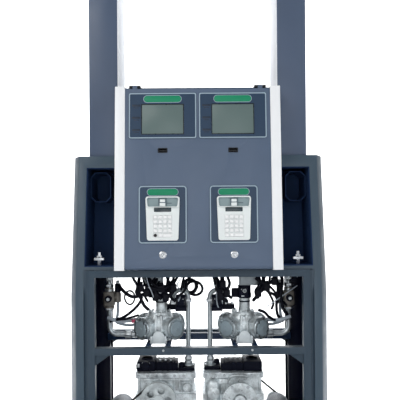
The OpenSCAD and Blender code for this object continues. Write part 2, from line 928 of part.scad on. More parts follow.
// Grooved wheel on its shaft; windows lighten the web
module pulley(d, shaft_d, windows) {
  r = d / 2;
  bed = groove + free_gap;
  rotate([90, 0, 0]) translate([0, 0, -pulley_w / 2]) difference() {
    rotate_extrude() polygon([
      [0, 0], [r - groove - 9, 0], [r, 0], [r, 3], [r - bed, 4.5],
      [r - bed, pulley_w - 4.5], [r, pulley_w - 3], [r, pulley_w], [0, pulley_w]
    ]);
    if (windows > 0) {
      difference() {
        translate([0, 0, pulley_w - 6]) cylinder(h = 6 + SLACK, r = r - groove - 8);
        translate([0, 0, pulley_w - 7]) cylinder(h = 9, r = 24);
      }
      for (a = [0 : 360 / windows : 359]) rotate([0, 0, a]) translate([(r - groove - 8 + 24) / 2, 0, -SLACK])
        cylinder(h = pulley_w + 2 * SLACK, r = (r - groove - 8 - 24) / 2 - 3);
    }
  }
  rod_y(shaft_d / 2, 0, -pulley_y - 66);
}

module pump_pulley() {
  translate([pump_pulley_x, pulley_y, pump_pulley_z]) pulley(pump_pulley_d, pump_shaft_d, 5);
}

module motor_pulley() {
  translate([motor_x, pulley_y, motor_z]) pulley(motor_pulley_d, motor_shaft_d, 0);
}

module left_pump_pulley() {
  color("#9aa3a8") at_pump(-1) pump_pulley();
}

module right_pump_pulley() {
  color("#9aa3a8") at_pump(1) pump_pulley();
}

module left_motor_pulley() {
  color("#6d7479") at_pump(-1) motor_pulley();
}

module right_motor_pulley() {
  color("#6d7479") at_pump(1) motor_pulley();
}

// Outline round two pulleys whose centres are apart along X
module belt_outline(r1, r2) {
  a = acos((r2 - r1) / belt_length);
  circle(r1);
  translate([belt_length, 0]) circle(r2);
  polygon([
    r1 * [-cos(a), sin(a)], r1 * [-cos(a), -sin(a)],
    [belt_length, 0] + r2 * [-cos(a), -sin(a)], [belt_length, 0] + r2 * [-cos(a), sin(a)]
  ]);
}

module drive_belt() {
  r1 = motor_pulley_d / 2 - groove + free_gap;
  r2 = pump_pulley_d / 2 - groove + free_gap;
  translate([motor_x, 0, motor_z]) plate_y(pulley_y - (belt_w - 4) / 2, pulley_y + (belt_w - 4) / 2)
    rotate(atan2(belt_dz, belt_dx)) difference() {
      belt_outline(r1 + belt_h, r2 + belt_h);
      belt_outline(r1, r2);
    }
}

module drive_belts() {
  color("#16181a") for (s = SIDES) at_pump(s) drive_belt();
}

// ---- Meters and pipes ----

// Four-cylinder piston meter: cylinders on the diagonals, flange above, foot below and outlet to one side
module meter(s) {
  r = cap_d / 2 - 4;
  difference() {
    union() {
      translate([0, 0, meter_rail_top + 12]) cylinder(h = 107, r = 62);
      translate([0, 0, meter_rail_top]) cylinder(h = 12, r = 50);
      translate([0, 0, meter_top - 12]) cylinder(h = 12, r = 52);
      for (a = [45, -45]) translate([0, 0, meter_z]) rotate([0, 0, a]) rod_y(r, -meter_reach, meter_reach);
      on_side(s) translate([0, 0, meter_z - 37]) rod_x(pipe_r + 5, 40, outlet_reach);
    }
    translate([0, 0, meter_z]) cylinder(h = 44, r = 48);
  }
}

module left_meter() {
  color("#8b9aa1") at_meter(-1) meter(-1);
}

module right_meter() {
  color("#8b9aa1") at_meter(1) meter(1);
}

module meter_caps() {
  color("#9fb0b8") for (s = SIDES, a = [45 : 90 : 315]) at_meter(s) translate([0, 0, meter_z]) rotate([0, 0, a]) {
    rod_y(cap_d / 2, -meter_reach - 10, -meter_reach);
    rod_y(18, -meter_reach - 16, -meter_reach - 10);
  }
}

stack_x = 8;

// Packing gland, coupling and pulse transmitter over each meter
module pulsers() {
  for (s = SIDES) at_meter(s) translate([stack_x, 0, 0]) {
    color("#c3c9cc") translate([0, 0, meter_top]) cylinder(h = 58, r = 25);
    color("#16181c") translate([0, 0, meter_top + 58]) cylinder(h = 58, r = 30);
  }
}

module junction_boxes() {
  color("#8a9298") for (s = SIDES) at_meter(s) {
    translate([s * 26, 0, meter_top + 116]) {
      box([-43, -32, 0], [43, 32, frame_top - meter_top - 134]);
      box([-38, -36, 6], [38, -32, frame_top - meter_top - 140]);
    }
  }
}

// Inlet block on the meter's top flange, and a solenoid valve in front of it
module solenoid_valves() {
  color("#16181c") for (s = SIDES) on_side(s) {
    x = pump_x - outlet_x + 2 * arch_r;
    box([x - 24, -24, meter_top], [x + 44, 24, inlet_z]);
    box([x - 62, -74, meter_top], [x - 12, -24, meter_top + 20]);
    translate([x - 37, meter_y, meter_top + 20]) cylinder(h = 52, r = 24);
  }
}

// Pump outlet up and over to the meter's inlet block
module discharge_pipes() {
  rise = 657 - arch_r + pipe_r - pump_top - 34;
  color("#b9c1c6") for (s = SIDES) on_side(s) translate([pump_x - outlet_x, 0, pump_top + 18]) {
    cylinder(h = 16, d = pipe_d + 16, $fn = 6);
    translate([0, 0, 16]) leg(pipe_r, rise) bend(pipe_r, 0, 90, arch_r) bend(pipe_r, 0, 90, arch_r)
      leg(pipe_r, pump_top + 34 + rise - inlet_z);
  }
}

// Meter outlet, riser with its valve, and the pipe that climbs to the hose outlet
module delivery_pipe(s) {
  start_x = meter_x + s * meter_shift + outlet_reach;
  low_z = meter_z - 37;
  translate([start_x, riser_y, low_z]) rotate([0, 90, 0]) leg(pipe_r, riser_x - start_x - bend_r)
    bend(pipe_r, 180) leg(pipe_r, turn_z - low_z - 2 * bend_r)
      bend(pipe_r, -90) leg(pipe_r, climb_y - riser_y - 2 * bend_r)
        bend(pipe_r, 180) leg(pipe_r, outlet_z - turn_z - 2 * bend_r)
          bend(pipe_r, 90) leg(pipe_r, column_x + column_w - riser_x - bend_r - 2.5);
}

module delivery_pipes() {
  color("#aeb6bb") for (s = SIDES) on_side(s) {
    delivery_pipe(s);
    translate([riser_x, riser_y, 600]) cylinder(h = 83, r = pipe_r + 9);
    translate([riser_x - 93, riser_y, meter_z - 37]) rod_x(pipe_r + 8, 0, 22, 6);
  }
}

module suction_pipes() {
  color("#7c858b") each_side(pump_x) difference() {
    union() {
      cylinder(h = base_h + 6, d = suction_d);
      cylinder(h = 12, r = suction_d / 2 + 20);
    }
    translate([0, 0, -SLACK]) cylinder(h = base_h + 8, d = suction_bore);
  }
}

// Conduits from the junction boxes to the head and from the motors up the walls
module cable_looms() {
  color("#101319") for (s = SIDES) {
    at_meter(s) for (x = [18, 34, 50]) translate([s * x, 8, frame_top - 18]) cylinder(h = 22, r = 6);
    translate([s * (post_in - sheet_t - 8), rail_back - 24, base_h]) cylinder(h = frame_top - base_h, r = 8);
  }
}

module cable_coil() {
  color("#0d1014") translate([-42, 46, 0]) {
    translate([0, 0, frame_top - 98]) rotate([90, 0, 0]) rotate_extrude() translate([32, 0]) circle(9);
    box([-6, -12, frame_top - 64], [6, 12, head_z]);
  }
}

// ---- Fasteners ----

module fasteners() {
  color("#b4b9bd") {
    // cap bolts of the meters
    for (s = SIDES, a = [45 : 90 : 315]) at_meter(s) translate([0, 0, meter_z]) rotate([0, 0, a]) {
      for (b = [45 : 90 : 315]) rotate([0, b, 0]) translate([cap_d / 2 - 9, 0, 0]) bolt_y(10, -meter_reach - 16, -meter_reach - 10);
    }
    // filter cover bolts of the pumps
    for (s = SIDES) at_pump(s) translate([-26, 0, filter_z]) {
      for (b = [0 : 60 : 300]) rotate([0, b, 0]) translate([filter_d / 2 - 9, 0, 0]) bolt_y(13, 138, 146);
    }
    // bolts of the pump feet
    for (s = SIDES, x = [-1, 1], y = [-1, 1]) at_pump(s) {
      translate([x * (pump_w / 2 - 14), y * (base_rail_y + 8), base_h + 32]) cylinder(h = 8, d = 15, $fn = 6);
    }
    // screws of the meter brackets in the rail
    for (s = SIDES) {
      translate([s * meter_x + meter_shift + 26, 0, meter_rail_top - 10]) bolt_y(9, -frame_y - 4, -frame_y);
    }
  }
}

base_frame();
front_frame();
rear_frame();
meter_rails();
cabinet_walls();
left_side_shell();
right_side_shell();
left_nozzle_boot();
right_nozzle_boot();
nozzle_rests();
left_column();
right_column();
column_liners();
header_case();
header_light_panels();
hose_glands();
head_case();
left_cheek();
right_cheek();
door_hinges();
electronics_box();
rear_cover();
rear_display_windows();
rear_lcd_modules();
left_pump();
right_pump();
pump_heads();
left_motor();
right_motor();
drive_belts();
left_meter();
right_meter();
meter_caps();
pulsers();
solenoid_valves();
junction_boxes();
discharge_pipes();
delivery_pipes();
suction_pipes();
cable_looms();
cable_coil();
fasteners();
front_door();
display_windows();
lcd_modules();
terminal_plates();
left_terminal();
right_terminal();
totalisers();
lock_barrels();
left_key_mat();
right_key_mat();
left_lock_plug();
right_lock_plug();
left_pump_pulley();
right_pump_pulley();
left_motor_pulley();
right_motor_pulley();
left_boot_lever();
right_boot_lever();
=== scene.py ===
import json
import math

import bmesh
import bpy
from mathutils import Matrix, Vector

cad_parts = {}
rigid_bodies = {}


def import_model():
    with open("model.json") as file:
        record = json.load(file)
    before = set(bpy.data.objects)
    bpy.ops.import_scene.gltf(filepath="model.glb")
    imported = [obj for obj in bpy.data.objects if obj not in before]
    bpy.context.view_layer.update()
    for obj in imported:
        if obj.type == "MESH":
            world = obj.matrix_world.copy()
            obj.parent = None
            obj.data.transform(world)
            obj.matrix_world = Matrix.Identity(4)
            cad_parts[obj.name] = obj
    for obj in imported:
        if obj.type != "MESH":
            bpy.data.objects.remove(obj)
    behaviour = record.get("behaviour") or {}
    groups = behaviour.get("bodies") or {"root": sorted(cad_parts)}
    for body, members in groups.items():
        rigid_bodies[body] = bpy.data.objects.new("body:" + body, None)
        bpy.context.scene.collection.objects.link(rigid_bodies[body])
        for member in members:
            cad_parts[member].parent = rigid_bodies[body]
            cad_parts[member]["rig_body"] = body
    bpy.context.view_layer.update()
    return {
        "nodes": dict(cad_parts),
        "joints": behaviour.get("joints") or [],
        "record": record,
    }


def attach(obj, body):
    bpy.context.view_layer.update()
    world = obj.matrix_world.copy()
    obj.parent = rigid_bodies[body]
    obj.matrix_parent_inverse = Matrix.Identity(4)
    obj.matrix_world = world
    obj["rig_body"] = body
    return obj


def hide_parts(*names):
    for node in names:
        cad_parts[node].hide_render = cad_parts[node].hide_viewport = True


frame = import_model()
NODES = frame["nodes"]

MM = 0.001


# ---------------------------------------------------------------- materials

class Finish:
    """One procedural material, built round a Principled shader."""

    def __init__(self, name, colour, rough, **constants):
        self.material = bpy.data.materials.new(name)
        self.material.use_nodes = True
        self.tree = self.material.node_tree
        self.shader = self.tree.nodes["Principled BSDF"]
        self.relief = None
        self.shader.inputs["Base Color"].default_value = (*colour, 1)
        self.shader.inputs["Roughness"].default_value = rough
        for key, number in constants.items():
            self.shader.inputs["IOR" if key == "ior" else key.title()].default_value = number
        self.place = self.add("ShaderNodeTexCoord", {}).outputs["Object"]

    def add(self, kind, inputs, **settings):
        """A node with its settings; each input is a value or another node's output."""
        node = self.tree.nodes.new(kind)
        for key, setting in settings.items():
            setattr(node, key, setting)
        for key, value in inputs.items():
            if isinstance(value, bpy.types.NodeSocket):
                self.tree.links.new(value, node.inputs[key])
            else:
                node.inputs[key].default_value = value
        return node

    def feed(self, name, socket):
        self.tree.links.new(socket, self.shader.inputs[name])

    def stretched(self, x, y, z):
        """The place on the object, with each direction scaled."""
        node = self.add("ShaderNodeVectorMath", {0: self.place, 1: (x, y, z)}, operation="MULTIPLY")
        return node.outputs[0]

    def noise(self, scale, detail=3.0, rough=0.5, at=None):
        """Fine random mottling, at the place on the object or at a stretched one."""
        inputs = {"Vector": at or self.place, "Scale": scale, "Detail": detail, "Roughness": rough}
        return self.add("ShaderNodeTexNoise", inputs).outputs["Fac"]

    def ramp(self, value, *stops):
        """Maps a varying number to the shades of two stops, each a place and a shade."""
        node = self.add("ShaderNodeValToRGB", {"Fac": value})
        for stop, (at, shade) in zip(node.color_ramp.elements, stops):
            stop.position = at
            stop.color = (shade, shade, shade, 1)
        return node.outputs["Color"]

    def mixed(self, share, low, high):
        """A colour between two, by a share from 0 to 1."""
        node = self.add("ShaderNodeMix", {"Factor": share, 6: (*low, 1), 7: (*high, 1)}, data_type="RGBA")
        return node.outputs[2]

    def bump(self, height, depth):
        """Adds relief of a depth in metres; calls stack."""
        inputs = {"Height": height, "Distance": depth, "Strength": 1.0}
        if self.relief is not None:
            inputs["Normal"] = self.relief
        self.relief = self.add("ShaderNodeBump", inputs).outputs["Normal"]
        self.feed("Normal", self.relief)


def shades(colour, spread):
    """A darker and a lighter shade of a colour."""
    return tuple(c * (1 - spread) for c in colour), tuple(min(1, c * (1 + spread)) for c in colour)


def powder_coat(name, colour, rough=0.42, spread=0.07, grain=0.00004, shine=0.5):
    """Powder-coated sheet: orange-peel relief and a slow shading of the colour.

    Shine is how far the refractive index stands above 1.
    """
    f = Finish(name, colour, rough, ior=1 + shine)
    f.feed("Base Color", f.mixed(f.ramp(f.noise(3.2, 4), (0.3, 0), (0.7, 1)), *shades(colour, spread)))
    f.feed("Roughness", f.ramp(f.noise(11, 5, 0.62), (0.35, rough - 0.06), (0.7, rough + 0.08)))
    f.bump(f.noise(760, 2), grain)
    return f


def casting(name, colour, rough=0.42, metallic=0.9, grain=0.00022, stain_and_shade=0.35):
    """Sand-cast metal: fine pits, mottled colour, and random darker blotches, partly stains and partly painted
    shade standing in for dark recesses.
    """
    f = Finish(name, colour, rough, metallic=metallic)
    # darker blotches at random: partly stains, partly painted shade of recesses
    blot = f.ramp(f.noise(24, 6, 0.65), (0.36, 0), (0.62, 1))
    f.feed("Base Color", f.mixed(blot, shades(colour, stain_and_shade)[0], colour))
    f.feed("Roughness", f.ramp(f.noise(60, 4), (0.3, rough - 0.1), (0.7, rough + 0.16)))
    f.bump(f.noise(520, 4, 0.7), grain)
    f.bump(f.noise(95, 2), grain * 1.6)
    return f


def turned(name, colour, rough=0.3, metallic=1.0, lines=2400):
    """Machined or drawn metal with fine tool lines."""
    f = Finish(name, colour, rough, metallic=metallic)
    f.feed("Base Color", f.mixed(f.noise(30, 4), shades(colour, 0.18)[0], colour))
    streaks = f.noise(1, 2, at=f.stretched(40, 40, lines))
    f.feed("Roughness", f.ramp(streaks, (0.3, rough - 0.08), (0.7, rough + 0.12)))
    f.bump(f.noise(1, 2, at=f.stretched(60, 60, lines)), 0.00003)
    return f


def moulded(name, colour, rough=0.45, grain=0.00008, spread=0.06, shine=0.5):
    """Moulded plastic or rubber, with a fine spark texture unless its grain is 0."""
    f = Finish(name, colour, rough, ior=1 + shine)
    f.feed("Base Color", f.mixed(f.noise(14, 4), *shades(colour, spread)))
    if grain > 0:
        f.feed("Roughness", f.ramp(f.noise(90, 4), (0.3, rough - 0.06), (0.7, rough + 0.08)))
        f.bump(f.noise(1500, 2), grain)
    return f


def srgb(r, g, b):
    """Linear colour from 8-bit screen values."""
    def line(v):
        v /= 255
        return v / 12.92 if v <= 0.04045 else ((v + 0.055) / 1.055) ** 2.4
    return tuple(line(v) for v in (r, g, b))


SLOTS = {
    "frame_paint": powder_coat("frame_paint", srgb(46, 64, 79)),
    "rail_paint": powder_coat("rail_paint", srgb(22, 48, 80)),
    "inner_paint": powder_coat("inner_paint", srgb(5, 8, 24), 0.9, shine=0.03),
    "shell_paint": powder_coat("shell_paint", srgb(75, 89, 112)),
    "boot_plastic": moulded("boot_plastic", srgb(40, 60, 94), 0.6, 0.00004, shine=0.15),
    "rest_cast": casting("rest_cast", srgb(212, 216, 220), 0.3),
    "white_paint": powder_coat("white_paint", srgb(252, 253, 255), 0.35, 0.01),
    "light_panel": moulded("light_panel", srgb(244, 247, 250), 0.3),
    "fitting_steel": turned("fitting_steel", srgb(170, 176, 182)),
    "black_steel": powder_coat("black_steel", srgb(24, 26, 30), 0.4),
    "box_steel": casting("box_steel", srgb(150, 158, 163), 0.45, 0.6, 0.0001, 0.12),
    "door_paint": powder_coat("door_paint", srgb(86, 102, 125)),
    "window_film": moulded("window_film", srgb(49, 68, 91), 0.3, 0, 0.02, 0.4),
    "lcd_face": moulded("lcd_face", srgb(102, 119, 117), 0.3, 0, 0.02, 0.35),
    # the deep darker blotches of this casting are painted shade, standing in for the dark recesses of the pumps
    # and meters
    "cast_silver": casting("cast_silver", srgb(234, 242, 245), 0.34, 0.5, stain_and_shade=0.55),
    "black_cast": powder_coat("black_cast", srgb(12, 16, 32), 0.5, 0.12, 0.0001, 0.2),
    "motor_paint": powder_coat("motor_paint", srgb(70, 84, 98), 0.45),
    "belt_rubber": moulded("belt_rubber", srgb(22, 23, 25), 0.75, 0.0002),
    "cap_cast": casting("cap_cast", srgb(176, 192, 200), 0.4, 0.5, 0.0001, 0.12),
    "pipe_steel": turned("pipe_steel", srgb(196, 204, 208), 0.32, 0.75),
    "cable_black": moulded("cable_black", srgb(8, 10, 22), 0.5, 0.00005, shine=0.25),
    "bolt_zinc": turned("bolt_zinc", srgb(196, 202, 206), 0.32),
    "terminal_plastic": moulded("terminal_plastic", srgb(238, 243, 242), 0.4, 0, 0.01),
    "black_plastic": moulded("black_plastic", srgb(14, 17, 22), 0.3),
    "lock_chrome": turned("lock_chrome", srgb(205, 208, 212), 0.22),
    "key_silicone": moulded("key_silicone", srgb(254, 255, 255), 0.5, 0, 0.01),
    "pulley_iron": casting("pulley_iron", srgb(206, 214, 216), 0.4, 0.5, 0.0001),
}

SLOT_OF = {row["node"]: row["material_slot"] for row in frame["record"]["subparts"]}
for node, slot in SLOT_OF.items():
    NODES[node].data.materials.clear()
    NODES[node].data.materials.append(SLOTS[slot].material)

# Finishes of single pieces, beside those of the record's slots
SIDE_PAINT = powder_coat("side_paint", srgb(61, 79, 93))
LINER_PAINT = powder_coat("liner_paint", srgb(249, 250, 253), 0.6, 0.01, shine=0.2)
OWN_PAINT = {"left_side_shell": SIDE_PAINT, "right_side_shell": SIDE_PAINT, "column_liners": LINER_PAINT}
LABEL_GREEN = moulded("label_green", srgb(30, 140, 100), 0.4, 0, 0.02, 0.35)
LABEL_EDGE = moulded("label_edge", srgb(158, 178, 192), 0.4, 0, 0.02)
SCREEN_DARK = moulded("screen_dark", srgb(50, 62, 68), 0.25, 0, 0.02)
# Gray copy of the white terminal plastic for the floor inside the card hood: painted shade of the recess
HOOD_FLOOR_SHADE = moulded("hood_floor_painted_shade", srgb(140, 158, 162), 0.5, 0, 0.04)
READER_GRAY = moulded("reader_gray", srgb(96, 112, 120), 0.45, 0, 0.04)
KEY_BLACK = moulded("key_black", srgb(24, 26, 28), 0.4)
BRONZE = casting("bronze_valve", srgb(128, 124, 118), 0.45, 0.5, 0.00015)
RED_SEAL = moulded("red_seal", srgb(178, 60, 92), 0.4)
CABLE_GRAY = moulded("cable_gray", srgb(176, 186, 196), 0.4)
WHITE_CAST = casting("white_cast", srgb(222, 230, 233), 0.5, 0.5, 0.00012, 0.12)
MARK_GRAY = moulded("mark_gray", srgb(30, 44, 62), 0.4, 0, 0.02)
# Lighter, more metallic copy of the cover casting for the flange rims: its lighter colour is a painted
# highlight for their bright crescents
RIM_HIGHLIGHT_CAST = casting("rim_painted_highlight", srgb(196, 206, 210), 0.32, 0.85, 0.0001, 0.15)

SIDES = (("left", -1), ("right", 1))


# ---------------------------------------------------------------- building pieces

class Shape:
    """A mesh built in millimetres, in a frame of its own, and placed on the object when it is done."""

    def __init__(self, place=None):
        self.mesh = bmesh.new()
        self.place = place or Matrix()

    def box(self, low, high, soft=0.0, steps=2):
        """A box between two opposite corners."""
        low, high = Vector(low), Vector(high)
        self.cube(Matrix.Translation((low + high) / 2), [abs(n) for n in high - low], soft, steps)

    def _soften(self, edges, soft, steps):
        if soft > 0:
            bmesh.ops.bevel(self.mesh, geom=list(edges), offset=soft, segments=steps, profile=0.5,
                            affect="EDGES", clamp_overlap=True)

    def lathe(self, profile, at, axis="z", steps=48):
        """Revolves (radius, height) points about an axis through at; radius 0 closes an end in a point."""
        rows = []
        for radius, height in profile:
            if radius < 1e-6:
                rows.append([self.mesh.verts.new(self._out(0, 0, height, at, axis))])
                continue
            ring = []
            for k in range(steps):
                a = 2 * math.pi * k / steps
                spot = self._out(radius * math.cos(a), radius * math.sin(a), height, at, axis)
                ring.append(self.mesh.verts.new(spot))
            rows.append(ring)
        for low, high in zip(rows, rows[1:]):
            for k in range(steps):
                j = (k + 1) % steps
                ring = [low[k % len(low)], low[j % len(low)], high[j % len(high)], high[k % len(high)]]
                ring = [v for n, v in enumerate(ring) if v not in ring[:n]]
                if len(ring) > 2:
                    self.mesh.faces.new(ring)
        for row in (rows[0], rows[-1]):
            if len(row) > 2:
                self.mesh.faces.new(row)

    @staticmethod
    def _out(a, b, height, at, axis):
        spot = {"z": (a, b, height), "x": (height, a, b), "y": (b, height, a)}[axis]
        return Vector(at) + Vector(spot)

    def rod(self, radius, low, high, at, axis="z", steps=32):
        """A plain cylinder, or a prism of few sides, between two heights on its axis."""
        self.lathe([(0, low), (radius, low), (radius, high), (0, high)], at, axis, steps)

    def prism(self, outline, low, high, soft=0.0, steps=2):
        """Pulls an outline of (x, z) points from y low to y high, and softens its end edges."""
        ends = [[self.mesh.verts.new((x, y, z)) for x, z in outline] for y in (low, high)]
        caps = [self.mesh.faces.new(row) for row in ends]
        count = len(outline)
        for k in range(count):
            self.mesh.faces.new((ends[0][k], ends[0][(k + 1) % count], ends[1][(k + 1) % count], ends[1][k]))
        self._soften({e for cap in caps for e in cap.edges}, soft, steps)

    def tube(self, points, radius, sides=12, smooth=6):
        """Sweeps a round section along a smooth curve through the points."""
        spine = curve_through([Vector(p) for p in points], smooth)
        tangent = (spine[1] - spine[0]).normalized()
        side = tangent.orthogonal().normalized()
        rows = []
        for k, at in enumerate(spine):
            ahead = (spine[min(k + 1, len(spine) - 1)] - spine[max(k - 1, 0)]).normalized()
            side = (side - ahead * side.dot(ahead)).normalized()
            up = ahead.cross(side)
            rows.append([self.mesh.verts.new(at + (side * math.cos(a) + up * math.sin(a)) * radius)
                         for a in (2 * math.pi * n / sides for n in range(sides))])
        for low, high in zip(rows, rows[1:]):
            for k in range(sides):
                self.mesh.faces.new((low[k], low[(k + 1) % sides], high[(k + 1) % sides], high[k]))
        self.mesh.faces.new(rows[0])
        self.mesh.faces.new(rows[-1])

    def cube(self, place, size, soft=0.0, steps=2):
        """A box of a size about a place of its own."""
        made = bmesh.ops.create_cube(self.mesh, size=1, matrix=place @ Matrix.Diagonal((*size, 1)))
        self._soften({e for v in made["verts"] for e in v.link_edges}, soft, steps)

    def merge(self, other):
        """Takes another shape's faces into this one."""
        data = bpy.data.meshes.new("part")
        other.mesh.to_mesh(data)
        other.mesh.free()
        data.transform(self.place.inverted() @ other.place)
        self.mesh.from_mesh(data)
        bpy.data.meshes.remove(data)

    def bolt(self, at, axis, across, head, out=1):
        """A hexagon head on a washer; out is the way it stands along its axis."""
        washer = across * 0.62
        seat = out * 1.6
        self.rod(washer, 0, seat, at, axis, 24)
        r = across / math.sqrt(3)
        self.lathe([(0, seat), (r, seat), (r, out * (head - 1)), (r * 0.86, out * head), (0, out * head)],
                   at, axis, 6)

    def bolt_ring(self, at, axis, radius, count, start, across, head, out=1):
        """Bolts spaced evenly on a circle, from a starting angle."""
        for k in range(count):
            a = math.radians(start + 360 / count * k)
            spot = self._out(radius * math.cos(a), radius * math.sin(a), 0, at, axis)
            self.bolt(spot, axis, across, head, out)

    def screw(self, at, axis, radius, out=1):
        """A domed screw head."""
        self.lathe([(radius, 0), (radius, out * radius * 0.3), (radius * 0.7, out * radius * 0.55),
                    (0, out * radius * 0.62)], at, axis, 16)

    def done(self, name, body, slot, material=None, replaces=()):
        """Makes the object, rides it on its body, gives it the finish given or else its slot's, and hides the
        nodes it takes the place of.
        """
        bmesh.ops.recalc_face_normals(self.mesh, faces=self.mesh.faces[:])
        data = bpy.data.meshes.new(name)
        self.mesh.to_mesh(data)
        self.mesh.free()
        data.transform(self.place)
        data.transform(Matrix.Scale(MM, 4))
        data.shade_smooth()
        data.set_sharp_from_angle(angle=math.radians(38))
        obj = bpy.data.objects.new(name, data)
        bpy.context.scene.collection.objects.link(obj)
        data.materials.append((material or SLOTS[slot]).material)
        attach(obj, body)
        if replaces:
            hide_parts(*replaces)
        return obj


def curve_through(points, steps):
    """Catmull-Rom curve through the points."""
    ends = [points[0] * 2 - points[1], *points, points[-1] * 2 - points[-2]]
    line = []
    for a, b, c, d in zip(ends, ends[1:], ends[2:], ends[3:]):
        for k in range(steps):
            t = k / steps
            line.append(((b * 2) + (c - a) * t + (a * 2 - b * 5 + c * 4 - d) * t * t
                         + (b * 3 - a - c * 3 + d) * t * t * t) / 2)
    return [*line, points[-1]]


def round_rect(width, height, radius, at=(0, 0), steps=6):
    """Outline of a rectangle with round corners."""
    points = []
    for quarter, (sx, sz) in enumerate(((1, 1), (-1, 1), (-1, -1), (1, -1))):
        cx, cz = at[0] + sx * (width / 2 - radius), at[1] + sz * (height / 2 - radius)
        for k in range(steps + 1):
            a = math.pi / 2 * (quarter + k / steps)
            points.append((cx + radius * math.cos(a), cz + radius * math.sin(a)))
    return points


def ring_plate(shape, outer, inner, low, high):
    """A flat frame between two outlines with the same number of points, from y low to y high."""
    rows = [[shape.mesh.verts.new((p[0], y, p[1])) for p in line]
            for y, line in ((low, outer), (low, inner), (high, inner), (high, outer))]
    count = len(outer)
    for first, second in zip(rows, rows[1:] + rows[:1]):
        for k in range(count):
            shape.mesh.faces.new((first[k], first[(k + 1) % count], second[(k + 1) % count], second[k]))


def softened(node, width, steps=2, material=None):
    """The node's own shape with its sharp edges rounded, as folded or cast metal has them."""
    source = NODES[node]
    mesh = bmesh.new()
    mesh.from_mesh(source.data)
    bmesh.ops.remove_doubles(mesh, verts=mesh.verts[:], dist=2e-6)
    bmesh.ops.dissolve_limit(mesh, angle_limit=math.radians(0.6), verts=mesh.verts[:], edges=mesh.edges[:])
    data = bpy.data.meshes.new(node + "_skin")
    mesh.to_mesh(data)
    mesh.free()
    obj = bpy.data.objects.new(node + "_skin", data)
    bpy.context.scene.collection.objects.link(obj)
    bevel = obj.modifiers.new("edges", "BEVEL")
    bevel.width = width * MM
    bevel.segments = steps
    bevel.limit_method = "ANGLE"
    bevel.angle_limit = math.radians(30)
    bevel.use_clamp_overlap = True
    settled = bpy.data.meshes.new_from_object(obj.evaluated_get(bpy.context.evaluated_depsgraph_get()))
    obj.modifiers.clear()
    obj.data = settled
    bpy.data.meshes.remove(data)
    settled.materials.clear()
    settled.materials.append(material.material if material else source.data.materials[0])
    settled.shade_smooth()
    settled.set_sharp_from_angle(angle=math.radians(28))
    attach(obj, source["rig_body"])
    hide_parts(node)
    return obj


JOINTS = {joint["name"]: joint for joint in frame["joints"]}


def span(node, place=None):
    """Lowest and highest corner of a node in millimetres, in the row frame or in a frame given."""
    back = (place or Matrix()).inverted()
    spots = [back @ (v.co / MM) for v in NODES[node].data.vertices]
    return (Vector([min(p[k] for p in spots) for k in range(3)]),
            Vector([max(p[k] for p in spots) for k in range(3)]))


def middle(node, place=None):
    low, high = span(node, place)
    return (low + high) / 2


# The door's own frame: x across, y into the machine, z up the door, from the hinge's axis
inward = Vector(JOINTS["left_keys_press"]["axis"]).normalized()
hinge_at = Vector(JOINTS["front_door_hinge"]["pos_m"]) / MM
across = Vector((1, 0, 0))
upward = across.cross(inward)
DOOR = Matrix.Translation(hinge_at) @ Matrix((across, inward, upward)).transposed().to_4x4()
REAR = Matrix.Rotation(math.pi, 4, "Z") @ DOOR


# ---------------------------------------------------------------- displays and door trim

def edging(shape, width, height, corners, at, face):
    """A thin raised line just inside the rim of a panel."""
    ring_plate(shape, round_rect(width - 2, height - 2, corners[0], at),
               round_rect(width - 11, height - 11, corners[1], at), face - 0.5, face + 0.2)


def label(pills, edge, width, height, at, face):
    """A coloured label pill with a thin line round it."""
    def pill(more):
        return round_rect(width + more, height + more, (height + more) / 2 - 0.1, at)
    pills.prism(pill(0), face - 1, face + 0.2, 0.4)
    ring_plate(edge, pill(5), pill(1), face - 0.8, face + 0.2)


def display_set(place, body, windows, lcds, tag):
    """Two tinted windows with their edging, label pills, lock-out marks and LCD glass."""
    low, high = span(windows, place)
    glass_low, glass_high = span(lcds, place)
    unit_x = middle("right_terminal", DOOR).x
    half_w = high.x - unit_x
    height = high.z - low.z
    centre_z = (low.z + high.z) / 2
    glass_w, glass_h = 178, 129  # of the LCD modules
    glass_z = (glass_low.z + glass_high.z) / 2
    front = low.y
    film, edge, pills, marks, glass, bezel = (Shape(place) for _ in range(6))
    for _, s in SIDES:
        x = s * unit_x
        outer = round_rect(2 * half_w, height, 8, (x, centre_z))
        inner = round_rect(glass_w + 1, glass_h + 1, 2, (x, glass_z))
        ring_plate(film, outer, inner, front, 0)
        edging(edge, 2 * half_w, height, (8, 5), (x, centre_z), front)
        label(pills, edge, 156, 27, (x, high.z - 26.5), front)
        for step in (-1, 0, 1):
            mark_x, mark_z = x - glass_w / 2 - 21, glass_z + 6 + step * 52
            marks.prism(round_rect(34, 9, 1.5, (mark_x, mark_z)), front - 0.35, front + 0.2, 0.1)
            marks.prism(round_rect(22, 3, 1, (mark_x, mark_z - 10)), front - 0.35, front + 0.2, 0.1)
        ring_plate(bezel, round_rect(glass_w, glass_h, 2, (x, glass_z)),
                   round_rect(glass_w - 5, glass_h - 5, 1.5, (x, glass_z)), front + 0.6, front + 3)
        glass.prism(round_rect(glass_w - 4, glass_h - 4, 1.5, (x, glass_z)), front + 1.8, front + 5, 0.3)
    film.done(tag + "_window_film", body, "window_film", replaces=(windows,))
    edge.done(tag + "_window_edging", body, "window_film", LABEL_EDGE)
    pills.done(tag + "_label_pills", body, "window_film", LABEL_GREEN)
    marks.done(tag + "_lockout_marks", body, "window_film", MARK_GRAY)
    bezel.done(tag + "_lcd_bezels", body, "black_plastic")
    glass.done(tag + "_lcd_glass", body, "lcd_face", replaces=(lcds,))


